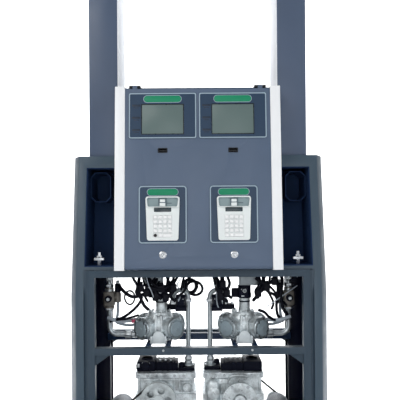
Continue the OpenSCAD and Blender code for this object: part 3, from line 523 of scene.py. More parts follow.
def counter_windows():
    """Clear windows of the two mechanical counters, with their digit drums behind."""
    drums, frames = Shape(DOOR), Shape(DOOR)
    low, high = span("totalisers", DOOR)
    z = (low.z + high.z) / 2
    face = low.y - 0.5
    for side, _ in SIDES:
        x = middle(side + "_terminal", DOOR).x
        ring_plate(frames, round_rect(40, 20, 3, (x, z)), round_rect(34, 14, 2, (x, z)), face - 1.8, face + 1)
        for k in range(7):
            drums.rod(6, -2.1, 2.1, (x - 13.5 + 4.5 * k, face + 9, z), "x", 20)
        drums.box((x - 25, face + 16, z - 14), (x + 25, face + 38, z + 14), 1.5)
        for _, s in SIDES:
            drums.box((x + s * 17.8, face + 3.2, z - 14), (x + s * 25, face + 16, z + 14), 0.4)
    drums.done("counter_drums", "door", "black_plastic", replaces=("totalisers",))
    frames.done("counter_frames", "door", "black_plastic")


def locks():
    """Bezels and barrels of the door locks, and the plugs with their key slots and cams."""
    low, high = span("lock_barrels", DOOR)
    plug_r = 6
    barrels = Shape(DOOR)
    for side, _ in SIDES:
        x = middle(side + "_terminal", DOOR).x
        z = (low.z + high.z) / 2
        face = low.y
        barrels.lathe([(plug_r + 0.1, 0.6), (plug_r + 1, 0), (11.5, -0.4), (15.4, 1.6), (15.4, 3), (9.4, 3),
                       (9.4, 29), (plug_r + 0.1, 29)], (x, face, z), "y", 48)
        barrels.lathe([(9.4, 5.6), (13.4, 5.6), (13.4, 10.6), (9.4, 10.6)], (x, face, z), "y", 6)
        plug = Shape(DOOR)
        plug.lathe([(0, 0.8), (1.4, 0.8), (1.4, -0.6), (4.6, -0.9), (plug_r, 0.2), (plug_r, 35), (3, 35.4),
                    (3, 38), (0, 38)], (x, face, z), "y", 32)
        plug.box((x - 0.9, face - 1, z - 3.6), (x + 0.9, face - 0.4, z + 3.6), 0.2)
        cam = ((-6, -6), (30, -6), (37, -3), (37, 3), (30, 6), (-6, 6))
        plug.prism([(x + dx, z + dz) for dx, dz in cam], face + 35, face + 38, 0.5)
        plug.bolt((x, face + 38, z), "y", 8, 4)
        node = side + "_lock_plug"
        plug.done(node + "_set", node, "lock_chrome", replaces=(node,))
    barrels.done("lock_barrel_set", "door", "lock_chrome", replaces=("lock_barrels",))


def key_places(side):
    """Centres and widths of a terminal's keys, set out from the key mat of the CAD."""
    low, high = span(side + "_key_mat", DOOR)
    x = (low.x + high.x) / 2
    pitch_x, pitch_z, width = 20, 18.8, 16
    first = low.z + 10.3
    rows = [[(x + (c - 1.5) * pitch_x, first + r * pitch_z, width) for c in range(4)] for r in range(1, 5)]
    rows.append([(x - 1.5 * pitch_x, first, width), (x - 0.5 * pitch_x, first, width),
                 (x + pitch_x, first, width + pitch_x)])
    return [key for row in rows for key in row], low, high


ROUND_KEY = 16  # the left terminal's first key of its lowest row is a round black one
HOOD_HEIGHT = 44


def terminal(side):
    """White payment terminal: plate with its edging and pill, hooded card slot, screen and keypad."""
    low, high = span(side + "_terminal", DOOR)
    x = (low.x + high.x) / 2
    plate_low, plate_high = span("terminal_plates", DOOR)
    plate_z = (plate_low.z + plate_high.z) / 2
    plate_w, plate_h = plate_high.x - middle("right_terminal", DOOR).x, plate_high.z - plate_low.z
    plate_y = plate_low.y
    body, hood, reader, screen = (Shape(DOOR) for _ in range(4))
    face = low.y + 10
    half, taper, bottom, top = (high.x - low.x) / 2, 6, low.z, high.z
    # body: a rounded tapered tray, with a raised rim
    outline = tapered(x, half, taper, bottom, top, 9)
    inner = tapered(x, half - 3.4, taper, bottom + 3.4, top - 3.4, 7)
    ring_plate(body, outline, inner, face + 0.4, plate_y)
    keys, mat_low, mat_high = key_places(side)
    face_plate(body, inner, keys, x, face + 1.2, face + 3.4)
    # hood: a visor round the card slot
    hood_low = top - HOOD_HEIGHT
    outer = tapered(x, half - 2, 1.2, hood_low, top - 0.5, 8)
    mouth = tapered(x, half - 6, 3, hood_low + 1.5, top - 5, 7)
    ring_plate(body, outer, mouth, low.y, face + 1.4)
    # the floor inside the hood is gray: painted shade of the recess in the white body
    hood.prism(tapered(x, half - 5, 3, hood_low + 0.5, top - 4, 7), face - 1.5, face + 2, 0.5)
    slot_frame = Shape(DOOR)
    slot_frame.box((x - 17, face - 7.5, top - 38), (x + 17, face, top - 8), 3, 3)
    slot_frame.box((x + 17, face - 3, top - 30), (x + 38, face, top - 26), 1)
    slot_frame.done(side + "_reader_frame", "door", "terminal_plastic", READER_GRAY)
    reader.box((x - 12, face - 9, top - 41), (x + 12, face - 1, top - 27), 2.5, 3)
    reader.box((x - 11, face - 8.4, top - 24), (x + 11, face - 1, top - 12), 2, 2)
    screen.prism(round_rect(71, 17.5, 2.5, (x, hood_low - 10.5)), face + 0.2, face + 2, 0.5)
    body.done(side + "_terminal_body", "door", "terminal_plastic", replaces=(side + "_terminal",))
    hood.done(side + "_terminal_hood_floor", "door", "terminal_plastic", HOOD_FLOOR_SHADE)
    reader.done(side + "_card_reader", "door", "terminal_plastic")
    screen.done(side + "_terminal_screen", "door", "lcd_face", SCREEN_DARK)
    # silicone keys on their mat
    mat = Shape(DOOR)
    for k, (kx, kz, w) in enumerate(keys):
        if k == ROUND_KEY and side == "left":
            continue
        mat.box((kx - w / 2 + 0.5, mat_low.y, kz - 6.6), (kx + w / 2 - 0.5, face + 4.5, kz + 6.6), 1.8, 3)
    mat.box((x - 44, face + 4.5, mat_low.z), (x + 44, face + 6.5, mat_high.z), 0.4)
    mat.done(side + "_keys", side + "_key_mat", "key_silicone", replaces=(side + "_key_mat",))
    if side == "left":
        dot = Shape(DOOR)
        kx, kz, _ = keys[ROUND_KEY]
        dot.lathe([(0, mat_low.y), (5, mat_low.y + 0.3), (6.4, mat_low.y + 1.6), (6.4, face + 4.5),
                   (0, face + 4.5)], (kx, 0, kz), "y", 28)
        dot.done("left_round_key", "left_key_mat", "key_silicone", KEY_BLACK)
    return x, plate_z, plate_w, plate_h, plate_y


def tapered(x, half, taper, bottom, top, radius, steps=6):
    """Outline of a body that is wider at its top by taper on each side, with round corners."""
    def bend(cx, cz, quarter):
        return [(cx + radius * math.cos(math.pi / 2 * (quarter + k / steps)),
                 cz + radius * math.sin(math.pi / 2 * (quarter + k / steps))) for k in range(steps + 1)]
    low_half = half - taper
    return [*bend(x + half - radius, top - radius, 0),
            *bend(x - half + radius, top - radius, 1),
            *bend(x - low_half + radius, bottom + radius, 2),
            *bend(x + low_half - radius, bottom + radius, 3)]


def face_plate(shape, outline, keys, x, low_y, high_y):
    """The face inside the rim: strips between the key holes, and a plain panel round them."""
    rows = sorted({round(z, 2) for _, z, _ in keys})
    columns = sorted({round(kx, 2) for kx, z, _ in keys if abs(z - rows[-1]) < 0.1})
    beside, above = 8.4, 7.9  # from a key's middle to the edges of its hole
    left, right = columns[0] - beside, columns[-1] + beside
    bottom, top = rows[0] - above, rows[-1] + above
    opening = round_rect(right - left, top - bottom, 2, ((left + right) / 2, (bottom + top) / 2))
    ring_plate(shape, outline, opening, low_y, high_y)
    for low_row, high_row in zip(rows, rows[1:]):
        shape.box((left - 1, low_y, low_row + above), (right + 1, high_y, high_row - above), 0.3, 1)
    for a, b in zip(columns, columns[1:]):
        foot = bottom if b < x + 1 else rows[1] - above
        shape.box((a + beside, low_y + 0.01, foot), (b - beside, high_y - 0.01, top), 0.3, 1)


def terminals():
    """Both terminals with the films, edgings and label pills of their plates."""
    film, edge, pills = Shape(DOOR), Shape(DOOR), Shape(DOOR)
    opening_w, opening_h = 112, 166  # in the film, round the terminal
    for side, _ in SIDES:
        x, z, half_w, height, face = terminal(side)
        outer = round_rect(2 * half_w, height, 14, (x, z))
        opening = round_rect(opening_w, opening_h, 3, (x, middle(side + "_terminal", DOOR).z))
        ring_plate(film, outer, opening, face, 0)
        edging(edge, 2 * half_w, height, (13.5, 9.5), (x, z), face)
        label(pills, edge, 126, 26, (x, z + height / 2 - 27), face)
    film.done("terminal_plate_film", "door", "window_film", replaces=("terminal_plates",))
    edge.done("terminal_plate_edging", "door", "window_film", LABEL_EDGE)
    pills.done("terminal_label_pills", "door", "window_film", LABEL_GREEN)


def sheet_metal():
    """Every folded sheet and frame, with the small radius of its folds."""
    for node, width in (
        ("front_frame", 1.6), ("rear_frame", 1.6), ("left_side_shell", 2.2), ("right_side_shell", 2.2),
        ("left_column", 2.5), ("right_column", 2.5), ("column_liners", 0.8), ("header_case", 2.0),
        ("header_light_panels", 1.0), ("head_case", 0.8), ("left_cheek", 2.2), ("right_cheek", 2.2),
        ("door_hinges", 0.8), ("electronics_box", 2.0), ("base_frame", 1.5), ("meter_rails", 1.2),
        ("cabinet_walls", 0.5), ("front_door", 1.2), ("rear_cover", 1.2),
        ("nozzle_rests", 1.5), ("left_boot_lever", 1.0), ("right_boot_lever", 1.0),
        ("hose_glands", 0.8), ("junction_boxes", 2.5), ("drive_belts", 0.8),
    ):
        softened(node, width, material=OWN_PAINT.get(node))


# ---------------------------------------------------------------- meters

def around(centre, angle):
    """A frame at a centre, turned about the vertical."""
    return Matrix.Translation(centre) @ Matrix.Rotation(math.radians(angle), 4, "Z")


DIAGONALS = (45, 135, 225, 315)
DRUM_END = 102  # how far a meter's drums reach from its middle, where their covers sit


def meter_centre(side):
    low, high = span(side + "_meter")
    return Vector(((low.x + high.x) / 2, (low.y + high.y) / 2, low.z + 63))


def cap_radius():
    low, high = span("meter_caps")
    return (high.z - low.z) / 2


def meter(side, s):
    """Piston meter: four drums on the diagonals between a foot and a bolted top flange."""
    centre = meter_centre(side)
    low, high = span(side + "_meter")
    at = (centre.x, centre.y, 0)
    foot, top = low.z, high.z
    cap_r = cap_radius()
    block = Shape()
    block.lathe([
        (0, foot), (46, foot), (50, foot + 2), (50, foot + 10), (47, foot + 13), (53, foot + 16),
        (60, foot + 23), (62, foot + 32), (62, top - 36), (60, top - 24), (53, top - 14), (52, top - 12),
        (52, top - 2), (50, top), (0, top)], at, "z", 64)
    for angle in DIAGONALS:
        drum = Shape(around(centre, angle))
        drum.lathe([(0, 20), (cap_r - 10, 20), (cap_r - 9, 58), (cap_r - 4.5, 64), (cap_r - 4, 88),
                    (cap_r - 3.6, 91), (cap_r, 93), (cap_r, DRUM_END - 0.2), (0, DRUM_END - 0.2)],
                   (0, 0, 0), "y", 56)
        for rib in (-60, 0, 60, 180):
            drum.cube(Matrix.Rotation(math.radians(rib), 4, "Y") @ Matrix.Translation((0, 77, cap_r - 3)),
                      (5, 30, 6), 1.5)
        block.merge(drum)
    for front in (-1, 1):
        for x in (-13, 13):
            rib_at = Matrix.Translation((centre.x + x, centre.y + front * 66, centre.z + 8))
            block.cube(rib_at @ Matrix.Rotation(math.radians(front * x * 0.25), 4, "Y"), (11, 30, 98), 3.5)
        web = ((-24, -60), (24, -60), (30, -20), (16, 50), (-16, 50), (-30, -20))
        near, far = sorted((centre.y + front * 50, centre.y + front * 72))
        block.prism([(centre.x + x, centre.z + z) for x, z in web], near, far, 3)
    port = ((0, 40), (16, 40), (16, 68), (19, 69), (19, 74), (0, 74))
    block.lathe([(r, s * out) for r, out in port], (centre.x, centre.y, centre.z - 37), "x", 32)
    block.bolt_ring((centre.x, centre.y, top), "z", 46, 12, 15, 7, 6.5)
    block.done(side + "_meter_casting", "cabinet", "cast_silver", replaces=(side + "_meter",))
    arch = Shape()
    for front in (-1, 1):
        half = ((36, 1), (34, 14), (27, 32), (20, 47), (10, 55), (0, 57))
        outline = (*half, *((-x, z) for x, z in half[-2::-1]))
        near, far = sorted((centre.y + front * 74, centre.y + front * 98))
        arch.prism([(centre.x + x, foot + z) for x, z in outline], near, far, 4, 3)
        for x in (-31, 31):
            toe = (centre.x + x, (near + far) / 2 + front * 4, foot + 18)
            arch.cube(Matrix.Translation(toe), (9, 30, 34), 3)
    arch.done(side + "_meter_feet", "cabinet", "cast_silver", WHITE_CAST)


def meter_cap_set():
    """Drum covers: a flange with a raised round plate."""
    rims, domes = Shape(), Shape()
    cap_r = cap_radius()
    for side, _ in SIDES:
        centre = meter_centre(side)
        for angle in DIAGONALS:
            rim, dome = Shape(around(centre, angle)), Shape(around(centre, angle))
            at = (0, DRUM_END, 0)
            rim.lathe([(0, 0), (cap_r - 2, 0), (cap_r, 1), (cap_r, 7), (cap_r - 1.5, 9.5), (cap_r - 4, 10),
                       (cap_r - 13, 10), (cap_r - 14, 6), (0, 6)], at, "y", 64)
            dome.lathe([(cap_r - 14, 5), (cap_r - 14.6, 10.4), (cap_r - 16, 11.6), (9, 12.4), (8, 13.6),
                        (5, 14), (0, 14.2)], at, "y", 64)
            rims.merge(rim)
            domes.merge(dome)
    # the rims take the lighter copy of the cover casting: painted highlight
    rims.done("drum_cover_rims", "cabinet", "cap_cast", RIM_HIGHLIGHT_CAST, replaces=("meter_caps",))
    domes.done("drum_cover_plates", "cabinet", "cap_cast")


def transmitters():
    """Shaft housings over the meters and the black pulse transmitters on them."""
    shafts, black, trim = Shape(), Shape(), Shape()
    z = span("pulsers")[0].z
    for side, _ in SIDES:
        centre = meter_centre(side)
        x, y = centre.x + 8, centre.y
        at = (x, y, z)
        shafts.lathe([(0, 0), (25, 0), (25, 38), (23, 40), (23, 44), (25, 46), (25, 58), (0, 58)], at)
        black.lathe([(25.4, 40.5), (27, 41), (27, 45), (25.4, 45.5)], at)
        black.lathe([(0, 58), (30, 58), (31, 60), (31, 78), (29, 80), (29, 114), (26, 116), (0, 116)], at)
        black.box((x - 26, y - 34, z + 62), (x + 12, y - 22, z + 104), 3)
        black.box((x - 58, y - 12, z + 60), (x - 24, y + 22, z + 100), 4)
        trim.lathe([(8, -42), (8, -34), (6, -42)], (x - 2, y, z + 92), "y", 20)
        trim.box((x - 16, y - 35, z + 66), (x - 3, y - 33.4, z + 71), 0.5)
        for k in (-1, 1):
            trim.screw((x + k * 9 - 6, y - 34, z + 98), "y", 2.6, -1)
    black.done("transmitter_bodies", "cabinet", "black_cast", replaces=("pulsers",))
    shafts.done("transmitter_shafts", "cabinet", "black_cast", SLOTS["cast_silver"])
    trim.done("transmitter_trim", "cabinet", "black_cast", SLOTS["bolt_zinc"])


def valves():
    """Inlet blocks on the meters with their solenoid valves."""
    bodies, coils, trim = Shape(), Shape(), Shape()
    z = span("solenoid_valves")[0].z
    top = z + 24
    for _, s in SIDES:
        coil_x = s * 81
        bodies.box((s * 94, -24, z), (s * 162, 24, top), 4, 3)
        bodies.box((s * 56, -74, z), (s * 106, -24, z + 20), 4, 3)
        bodies.box((s * 64, -66, z + 20), (s * 98, -34, z + 24), 2)
        at = (coil_x, -50, z)
        coils.lathe([(0, 20), (22, 20), (24, 22), (24, 30), (22.6, 31), (22.6, 60), (24, 61), (24, 67),
                     (21, 72), (0, 72)], at, "z", 40)
        coils.box((coil_x - 15, -84, z + 30), (coil_x + 15, -66, z + 62), 3)
        trim.rod(9, 72, 77, at, "z", 6)
        trim.lathe([(18, 20), (18, 34), (15, 38), (13, 38)], (s * 118, 0, z), "z", 6)
        for k in (-1, 1):
            for y in (-14, 14):
                trim.bolt((s * (128 + k * 24), y, top), "z", 9, 7)
            trim.screw((coil_x + k * 10, -84, z + 56), "y", 2.5, -1)
    bodies.done("valve_blocks", "cabinet", "black_cast", replaces=("solenoid_valves",))
    coils.done("valve_coils", "cabinet", "black_cast")
    trim.done("valve_trim", "cabinet", "black_cast", SLOTS["bolt_zinc"])


def pipe_fittings():
    """Union nuts, riser valves, a thin return line and the gray conduits of the meters."""
    nuts, bronze, black, lines, seal, caps = (Shape() for _ in range(6))
    y = -50
    for _, s in SIDES:
        riser = s * 403
        for base, z in ((50, 347), (50, 612), (118, 606)):
            at = (s * base, 0, z)
            nuts.lathe([(0, 0), (15, 0), (17, 3), (17, 14), (15, 17), (0, 17)], at, "z", 6)
            nuts.rod(13.5, 17, 22, at)
        for z in (586, 690):
            nuts.lathe([(0, 0), (18, 0), (19.5, 2), (19.5, 12), (18, 14), (0, 14)], (riser, y, z), "z", 6)
        union = (s * 302, y, 477)
        nuts.lathe([(0, 0), (17, 0), (20, s * 3), (20, s * 27), (17, s * 31), (0, s * 31)], union, "x", 6)
        nuts.rod(15, -s * 30, 0, union, "x")
        bronze.box((riser - 25, y - 24, 604), (riser + 25, y + 20, 672), 7, 3)
        bronze.rod(22, 596, 604, (riser, y, 0))
        bronze.rod(20, 672, 686, (riser, y, 0))
        inner = riser - s * 38
        bronze.rod(15, riser, inner, (0, y, 646), "x", 28)
        bronze.lathe([(0, 622), (14, 622), (15, 628), (15, 660), (12, 668), (0, 668)], (inner, y, 0), "z", 28)
        black.lathe([(0, 668), (13, 668), (14, 672), (14, 700), (10, 706), (0, 706)], (inner, y, 0), "z", 28)
        black.lathe([(0, -46), (13, -46), (15, -42), (15, -24), (0, -24)], (riser, y, 640), "y", 32)
        caps.lathe([(0, -52), (6, -52), (8, -46), (0, -46)], (riser, y, 640), "y", 20)
        caps.lathe([(0, 706), (8, 706), (8, 716), (5, 720), (0, 720)], (inner, y, 0), "z", 20)
        lines.tube([(inner, y, 624), (inner, y, 590), (inner + s * 3, y + 4, 560), (inner + s * 8, y + 10, 530),
                    (s * 330, y + 24, 514), (s * 300, y + 40, 512), (s * 262, y + 44, 520)], 6.5, 16)
        drain = [(408, -20, 556), (375, -26, 545), (340, -22, 540), (276, -10, 544)]
        lines.tube([(s * out, y + back, z) for out, back, z in drain], 9, 16)
        caps.lathe([(0, s * 262), (12, s * 262), (12, s * 276), (10, s * 280), (0, s * 280)],
                   (0, y - 10, 544), "x", 24)
        caps.lathe([(11, 724), (14, 725), (14, 738), (11, 740)], (riser - s * 4, y - 34, 0), "z", 28)
        seal.tube([(s * 288, y - 30, 556), (s * 284, y - 40, 546), (s * 290, y - 34, 530)], 1.2, 8)
    seal.box((-298, -104, 536), (-281, -94, 551), 3, 3)
    seal.done("meter_seal", "cabinet", "pipe_steel", RED_SEAL)
    nuts.done("union_nuts", "cabinet", "pipe_steel", SLOTS["bolt_zinc"])
    bronze.done("riser_valves", "cabinet", "pipe_steel", BRONZE)
    black.done("riser_valve_heads", "cabinet", "black_cast")
    caps.done("fitting_caps", "cabinet", "pipe_steel", WHITE_CAST)
    lines.done("return_lines", "cabinet", "pipe_steel", CABLE_GRAY)


def cables():
    """Black cables from the head to the meters, valves and transmitters, and the gray capillaries."""
    top = 782  # where the cables leave the head
    thick = (
        # left meter, valve and transmitter
        ((-58, -30, top), (-64, -40, 745), (-74, -52, 705), (-81, -50, 672)),
        ((-76, -24, top), (-98, -46, 730), (-122, -64, 690), (-126, -76, 650), (-104, -80, 626)),
        ((-128, -50, top), (-136, -70, 740), (-140, -84, 700), (-150, -88, 664)),
        ((-150, -56, top), (-146, -80, 744), (-128, -92, 706), (-134, -88, 670)),
        ((-244, -70, top), (-234, -84, 734), (-214, -96, 694), (-196, -92, 656), (-190, -84, 632)),
        ((-266, -60, 742), (-268, -84, 700), (-262, -98, 660), (-244, -100, 616), (-222, -96, 592)),
        ((-250, -66, 735), (-238, -88, 700), (-212, -104, 680), (-184, -100, 700), (-176, -84, 716)),
        ((-252, -90, 652), (-262, -100, 624), (-296, -96, 588), (-342, -80, 556), (-398, -64, 540)),
        ((-236, -84, 664), (-282, -104, 652), (-312, -100, 660), (-340, -84, 680), (-358, -70, 700)),
        ((-398, -66, 536), (-360, -84, 548), (-330, -92, 552), (-296, -84, 560), (-270, -70, 566)),
        ((-92, -58, top), (-112, -84, 735), (-108, -98, 690), (-128, -104, 655), (-158, -100, 640)),
        ((-168, -40, top), (-178, -70, 742), (-196, -94, 706), (-190, -102, 668), (-166, -98, 640)),
        ((-186, -48, top), (-196, -84, 730), (-226, -100, 700), (-240, -98, 660), (-226, -92, 628)),
        ((-210, -60, top), (-222, -90, 740), (-204, -104, 712), (-176, -104, 690), (-158, -98, 668)),
        ((-112, -60, 720), (-134, -96, 700), (-160, -104, 684), (-196, -104, 688), (-232, -96, 706)),
        ((-104, -90, 640), (-84, -100, 656), (-62, -92, 680), (-56, -70, 712)),
        ((-300, -60, top), (-292, -84, 735), (-272, -100, 700), (-276, -100, 668), (-252, -96, 640)),
        # right meter, valve and transmitter
        ((62, -34, top), (66, -50, 744), (74, -56, 706), (81, -50, 672)),
        ((84, -40, top), (80, -64, 738), (92, -78, 694), (108, -84, 650), (112, -80, 612)),
        ((118, -44, top), (102, -70, 740), (104, -88, 700), (122, -92, 664), (146, -86, 640)),
        ((268, -60, top), (284, -80, 742), (286, -94, 704), (262, -98, 660), (240, -88, 628)),
        ((292, -56, top), (316, -78, 742), (306, -92, 700), (278, -100, 672), (248, -90, 660)),
        ((330, -60, top), (346, -80, 730), (350, -92, 680), (344, -88, 610), (352, -76, 560), (378, -64, 534)),
        ((350, -60, top), (372, -76, 720), (362, -96, 660), (372, -88, 600), (396, -66, 560)),
        ((306, -78, 700), (330, -92, 676), (356, -88, 640), (392, -70, 606)),
        ((262, -92, 590), (290, -92, 578), (312, -84, 556), (344, -74, 540), (398, -60, 544)),
        ((70, -50, 740), (86, -84, 716), (84, -100, 680), (100, -102, 648), (126, -94, 628)),
        ((98, -40, top), (112, -80, 744), (96, -98, 712), (100, -100, 672), (92, -94, 640)),
        ((140, -50, top), (128, -84, 742), (136, -98, 706), (122, -100, 676), (104, -96, 650)),
        ((246, -50, top), (258, -84, 744), (270, -98, 706), (252, -100, 672), (262, -96, 640)),
        ((280, -60, top), (270, -88, 730), (292, -100, 690), (312, -98, 660), (330, -90, 620), (322, -84, 590)),
        ((316, -50, top), (300, -84, 748), (284, -98, 716), (300, -100, 676), (338, -94, 652), (352, -84, 618)),
        ((350, -70, 742), (330, -92, 720), (304, -100, 706), (276, -98, 712), (254, -88, 730)),
        # conduits from the motors up the walls
        ((-424, 150, 70), (-424, 156, 300), (-424, 158, 560), (-420, 150, top)),
        ((424, 150, 70), (424, 156, 300), (424, 158, 560), (420, 150, top)),
    )
    black = Shape()
    for n, run in enumerate(thick):
        black.tube(run, 5.4 + 1.2 * (n % 3), 12, 7)
    plugs = ((-146, 648), (-192, 650), (-232, 668), (-112, 690), (-164, 686), (-256, 690),
             (94, 652), (124, 664), (106, 704), (262, 664), (300, 690), (334, 716))
    for x, z in plugs:
        black.box((x - 14, -110, z - 17), (x + 14, -88, z + 17), 5, 3)
        black.box((x - 8, -106, z + 16), (x + 8, -92, z + 28), 4, 3)
    loop = [(-306 + 22 * math.cos(a), -100 + 4 * math.sin(2 * a), 648 + 30 * math.sin(a))
            for a in (math.radians(70 + 24 * k) for k in range(20))]
    black.tube(loop, 4, 10, 3)
    black.done("signal_cables", "cabinet", "cable_black", replaces=("cable_looms",))
    thin = (
        ((-232, -100, 742), (-222, -108, 706), (-206, -110, 668), (-196, -106, 640)),
        ((-58, -60, 770), (-78, -66, 730), (-96, -74, 700), (-84, -84, 676), (-84, -84, 648), (-92, -88, 628)),
        ((436, -96, 736), (446, -96, 716), (440, -96, 700), (370, -100, 652), (292, -100, 598)),
        ((66, -70, 700), (88, -86, 690), (112, -94, 686), (128, -92, 692)),
        ((84, -84, 690), (78, -92, 664), (80, -92, 620), (86, -88, 600)),
    )
    gray = Shape()
    for run in thin:
        gray.tube(run, 2.4, 10, 8)
    gray.done("capillaries", "cabinet", "cable_black", CABLE_GRAY)
    spare_cable()


def spare_cable():
    """The hanging coil of spare cable: turns that wander a little, a loose loop and its tie."""
    coil = Shape()
    low, high = span("cable_coil")
    turns = 4
    x, y, z = (low.x + high.x) / 2, (low.y + high.y) / 2, low.z + 41
    winding = []
    for k in range(turns * 20 + 1):
        a = math.radians(90 + 18 * k)
        winding.append((x + (31 + 3 * math.sin(0.9 * k)) * math.cos(a), y - 9 + 18 * k / (turns * 20),
                        z + (31 + 3 * math.cos(0.7 * k)) * math.sin(a)))
    coil.tube([(x - 46, y - 4, high.z), (x - 30, y - 8, high.z - 20), *winding, (x - 14, y + 8, high.z - 14),
               (x - 20, y, high.z)], 7.5, 12, 2)
    loose = [(x + 22 + 36 * math.cos(a) + 8 * math.sin(a), y - 10 + 6 * math.cos(a),
              z - 8 + 30 * math.sin(a) - 10 * math.cos(a)) for a in (math.radians(18 * k) for k in range(21))]
    coil.tube(loose, 6.5, 12, 2)
    coil.lathe([(5, -14), (8, -14), (8, 12), (5, 12)], (x, y, z + 33), "y", 20)
    coil.done("spare_cable", "cabinet", "cable_black", replaces=("cable_coil",))


# ---------------------------------------------------------------- pumps, motors and drives

def fin_ring(shape, centre, radius, count, low, high, thick, tall, skip=()):
    """Cooling fins along a motor's body."""
    for k in range(count):
        angle = 360 / count * k
        if any(a < angle < b for a, b in skip):
            continue
        turn = Matrix.Rotation(math.radians(angle), 4, "Y")
        place = Matrix.Translation((centre.x, (low + high) / 2, centre.z)) @ turn
        shape.cube(place @ Matrix.Translation((0, 0, radius + tall / 2)), (thick, high - low, tall + 2), 0.7)


def motors():
    """Finned motors with their end rings and terminal boxes, and the pulleys of both drives."""
    for side, s in SIDES:
        fins, box = Shape(), Shape()
        low, high = span(side + "_motor_pulley")
        centre = (low + high) / 2
        body_r = span(side + "_motor")[1].z - centre.z
        fin_ring(fins, centre, body_r - 1, 40, -84, 84, 3, 3.5, ((140, 220),))
        for y in (-92, 92):
            fins.lathe([(body_r - 8, -5), (body_r, -4), (body_r, 4), (body_r - 8, 5)],
                       (centre.x, y, centre.z), "y", 56)
            out = 1 if y > 0 else -1
            fins.bolt_ring((centre.x, y + out * 5, centre.z), "y", body_r - 12, 4, 45, 8, 6, out)
        fins.done(side + "_motor_fins", "cabinet", "motor_paint")
        inner, outer = centre.x - s * (body_r + 14), centre.x - s * (body_r + 20)
        box.box((inner, -32, centre.z - 24), (outer, 32, centre.z + 24), 1.5)
        for k in (-18, 18):
            for y in (-25, 25):
                box.screw((outer, y, centre.z + k), "x", 3, -s)
        box.done(side + "_terminal_cover", "cabinet", "motor_paint")
        softened(side + "_motor", 1.6)
        softened(side + "_motor_pulley", 0.8)
        softened(side + "_pump_pulley", 1.0)


def pumps():
    """Cast pump blocks with their bolted covers and ribs; the black control heads stand on top."""
    for side, s in SIDES:
        unit = Matrix.Translation((s * 150, 0, 0)) @ Matrix.Rotation(0 if s < 0 else math.pi, 4, "Z")
        softened(side + "_pump", 3.0, 3)
        ribs, head, trim, cover = (Shape(unit) for _ in range(4))
        top = span(side + "_pump")[1].z - 18
        tall = span("pump_heads")[1].z - top - 5
        for front in (-1, 1):
            face = front * 88
            for x in (-116, 38, 62, 112):
                ribs.box((x - 4, face, 226), (x + 4, face + front * 7, top - 22), 2.5)
            ribs.box((-124, face, 276), (126, face + front * 5, 286), 2)
            for k in range(7):
                trim.bolt((-120 + 40 * k, front * 96, top - 11), "y", 10, 7, front)
        ribs.box((70, -98, 228), (118, -86, 276), 6, 3)
        ribs.lathe([(0, -112), (17, -112), (20, -108), (20, -88), (0, -88)], (94, 0, 252), "y", 40)
        ribs.rod(9, -116, -110, (94, 0, 252), "y", 6)
        trim.bolt_ring((94, -98, 252), "y", 28, 4, 45, 7, 6, -1)
        # round filter cover at the back of the unit
        cover.lathe([(30, 138), (34, 141), (60, 141), (66, 139), (70, 138)], (-26, 0, 200), "y", 72)
        for a in range(0, 360, 45):
            spoke = Matrix.Rotation(math.radians(a), 4, "Y") @ Matrix.Translation((0, 0, 44))
            cover.cube(Matrix.Translation((-26, 140, 200)) @ spoke, (5, 5, 30), 1.5)
        cover.box((20, 88, 262), (66, 104, 288), 5, 3)
        cover.tube([(-60, 100, 296), (-30, 108, 304), (10, 108, 300), (24, 104, 280)], 6, 14)
        cover.lathe([(0, 92), (24, 92), (27, 96), (27, 116), (20, 120), (0, 120)], (88, 0, 226), "y", 40)
        ribs.merge(cover)
        ribs.done(side + "_pump_details", "cabinet", "cast_silver")
        trim.done(side + "_pump_screws", "cabinet", "cast_silver", SLOTS["bolt_zinc"])
        # control head
        for x in (-40, -16, 8, 32):
            head.box((x - 3, -54, top), (x + 3, 62, top + 37), 1.5)
        head.box((-50, -44, top + 30), (40, 50, top + 38), 3)
        head.lathe([(0, 0), (20, 0), (20, 26), (17, 32), (0, 34)], (20, 20, top), "z", 32)
        head.lathe([(0, 0), (26, 0), (26, 4), (22, 5), (0, 5)], (-90, 5, top + tall), "z", 40)
        head.box((-134, -66, top + 8), (-116, 40, top + tall - 10), 4)
        head.lathe([(0, -78), (16, -78), (18, -74), (18, -60), (0, -60)], (-90, 0, top + 28), "y", 32)
        head.box((54, -60, top), (128, 40, top + 14), 4)
        head.lathe([(0, 14), (14, 14), (14, 30), (9, 34), (0, 34)], (70, -30, top), "z", 6)
        head.done(side + "_control_head", "cabinet", "black_cast")
        plates = Shape(unit)
        plates.box((-128, -67.5, top + 20), (-118, -65.8, top + 36), 0.5)
        for x in (-104, -76):
            plates.screw((x, -60, top + tall - 8), "y", 4, -1)
        for x in (-28, -4, 20):
            plates.bolt((x, -20, top + 38), "z", 8, 6)
        plates.done(side + "_head_screws", "cabinet", "black_cast", SLOTS["bolt_zinc"])
    softened("pump_heads", 3.0, 3)


def pipework():
    """The steel pipes, with the small radius of their ends and flanges."""
    for node, width in (("discharge_pipes", 0.6), ("delivery_pipes", 0.6), ("suction_pipes", 1.0)):
        softened(node, width)


# ---------------------------------------------------------------- stage, lights and camera

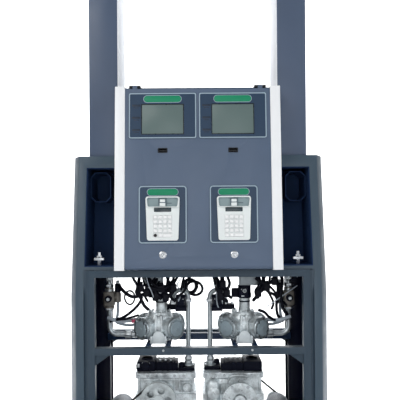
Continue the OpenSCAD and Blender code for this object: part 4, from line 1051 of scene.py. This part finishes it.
def stage_and_lights():
    """A pale floor that curves up into a backdrop, and soft studio light."""
    world = bpy.data.worlds.new("studio")
    world.use_nodes = True
    world.node_tree.nodes["Background"].inputs["Color"].default_value = (0.93, 0.96, 1.0, 1)
    world.node_tree.nodes["Background"].inputs["Strength"].default_value = 0.36
    bpy.context.scene.world = world
    bpy.context.scene.view_settings.view_transform = "Standard"
    half, back, radius, steps = 9.0, 3.4, 1.6, 12
    mesh = bmesh.new()
    line = [(-half, 0.0), (back, 0.0)]
    for k in range(1, steps + 1):
        a = math.pi / 2 * k / steps
        line.append((back + radius * math.sin(a), radius * (1 - math.cos(a))))
    line.append((back + radius, half))
    rows = [[mesh.verts.new((x, y, z - 0.0005)) for x in (-half, half)] for y, z in line]
    for low, high in zip(rows, rows[1:]):
        mesh.faces.new((low[0], low[1], high[1], high[0]))
    data = bpy.data.meshes.new("floor")
    mesh.to_mesh(data)
    mesh.free()
    for face in data.polygons:
        face.use_smooth = True
    floor = bpy.data.objects.new("floor", data)
    bpy.context.scene.collection.objects.link(floor)
    pale = Finish("pale_floor", (0.9, 0.91, 0.92), 0.7)
    pale.feed("Roughness", pale.ramp(pale.noise(2), (0, 0.65), (1, 0.75)))
    floor.data.materials.append(pale.material)
    lights = (
        ("key", (-2.6, -3.6, 3.4), (0, 0, 1.1), 2.6, 66, (1.0, 0.99, 0.97)),
        ("fill", (3.2, -3.0, 2.2), (0, 0, 1.0), 2.6, 36, (0.95, 0.98, 1.0)),
        ("front", (0.0, -4.4, 1.2), (0, 0, 0.9), 2.2, 18, (1, 1, 1)),
        ("back_wall", (0.0, 1.2, 3.6), (0, 5.0, 1.4), 3.5, 460, (1, 1, 1)),
        ("top", (0.0, 0.6, 4.2), (0, 0, 1.0), 2.4, 24, (1, 1, 1)),
    )
    for name, at, aim, size, power, colour in lights:
        lamp = bpy.data.lights.new(name, "AREA")
        lamp.shape = "DISK"
        lamp.size = size
        lamp.energy = power
        lamp.color = colour
        obj = bpy.data.objects.new(name, lamp)
        obj.location = at
        obj.rotation_euler = (Vector(aim) - Vector(at)).to_track_quat("-Z", "Y").to_euler()
        bpy.context.scene.collection.objects.link(obj)


def camera():
    """Square to the front, about 2.3 m from the cabinet, at waist height."""
    view = bpy.data.cameras.new("camera")
    view.lens = 51.43
    view.shift_x = 0.004
    view.shift_y = 0.055
    view.clip_end = 60
    obj = bpy.data.objects.new("camera", view)
    obj.location = (0, -2.625, 0.98)
    obj.rotation_euler = (math.radians(90), math.radians(0.4), 0)
    bpy.context.scene.collection.objects.link(obj)
    bpy.context.scene.camera = obj


stage_and_lights()
camera()
sheet_metal()
display_set(DOOR, "door", "display_windows", "lcd_modules", "front")
display_set(REAR, "cabinet", "rear_display_windows", "rear_lcd_modules", "rear")
counter_windows()
locks()
terminals()
for side, sign in SIDES:
    meter(side, sign)
meter_cap_set()
transmitters()
valves()
pipe_fittings()
cables()
motors()
pumps()
pipework()
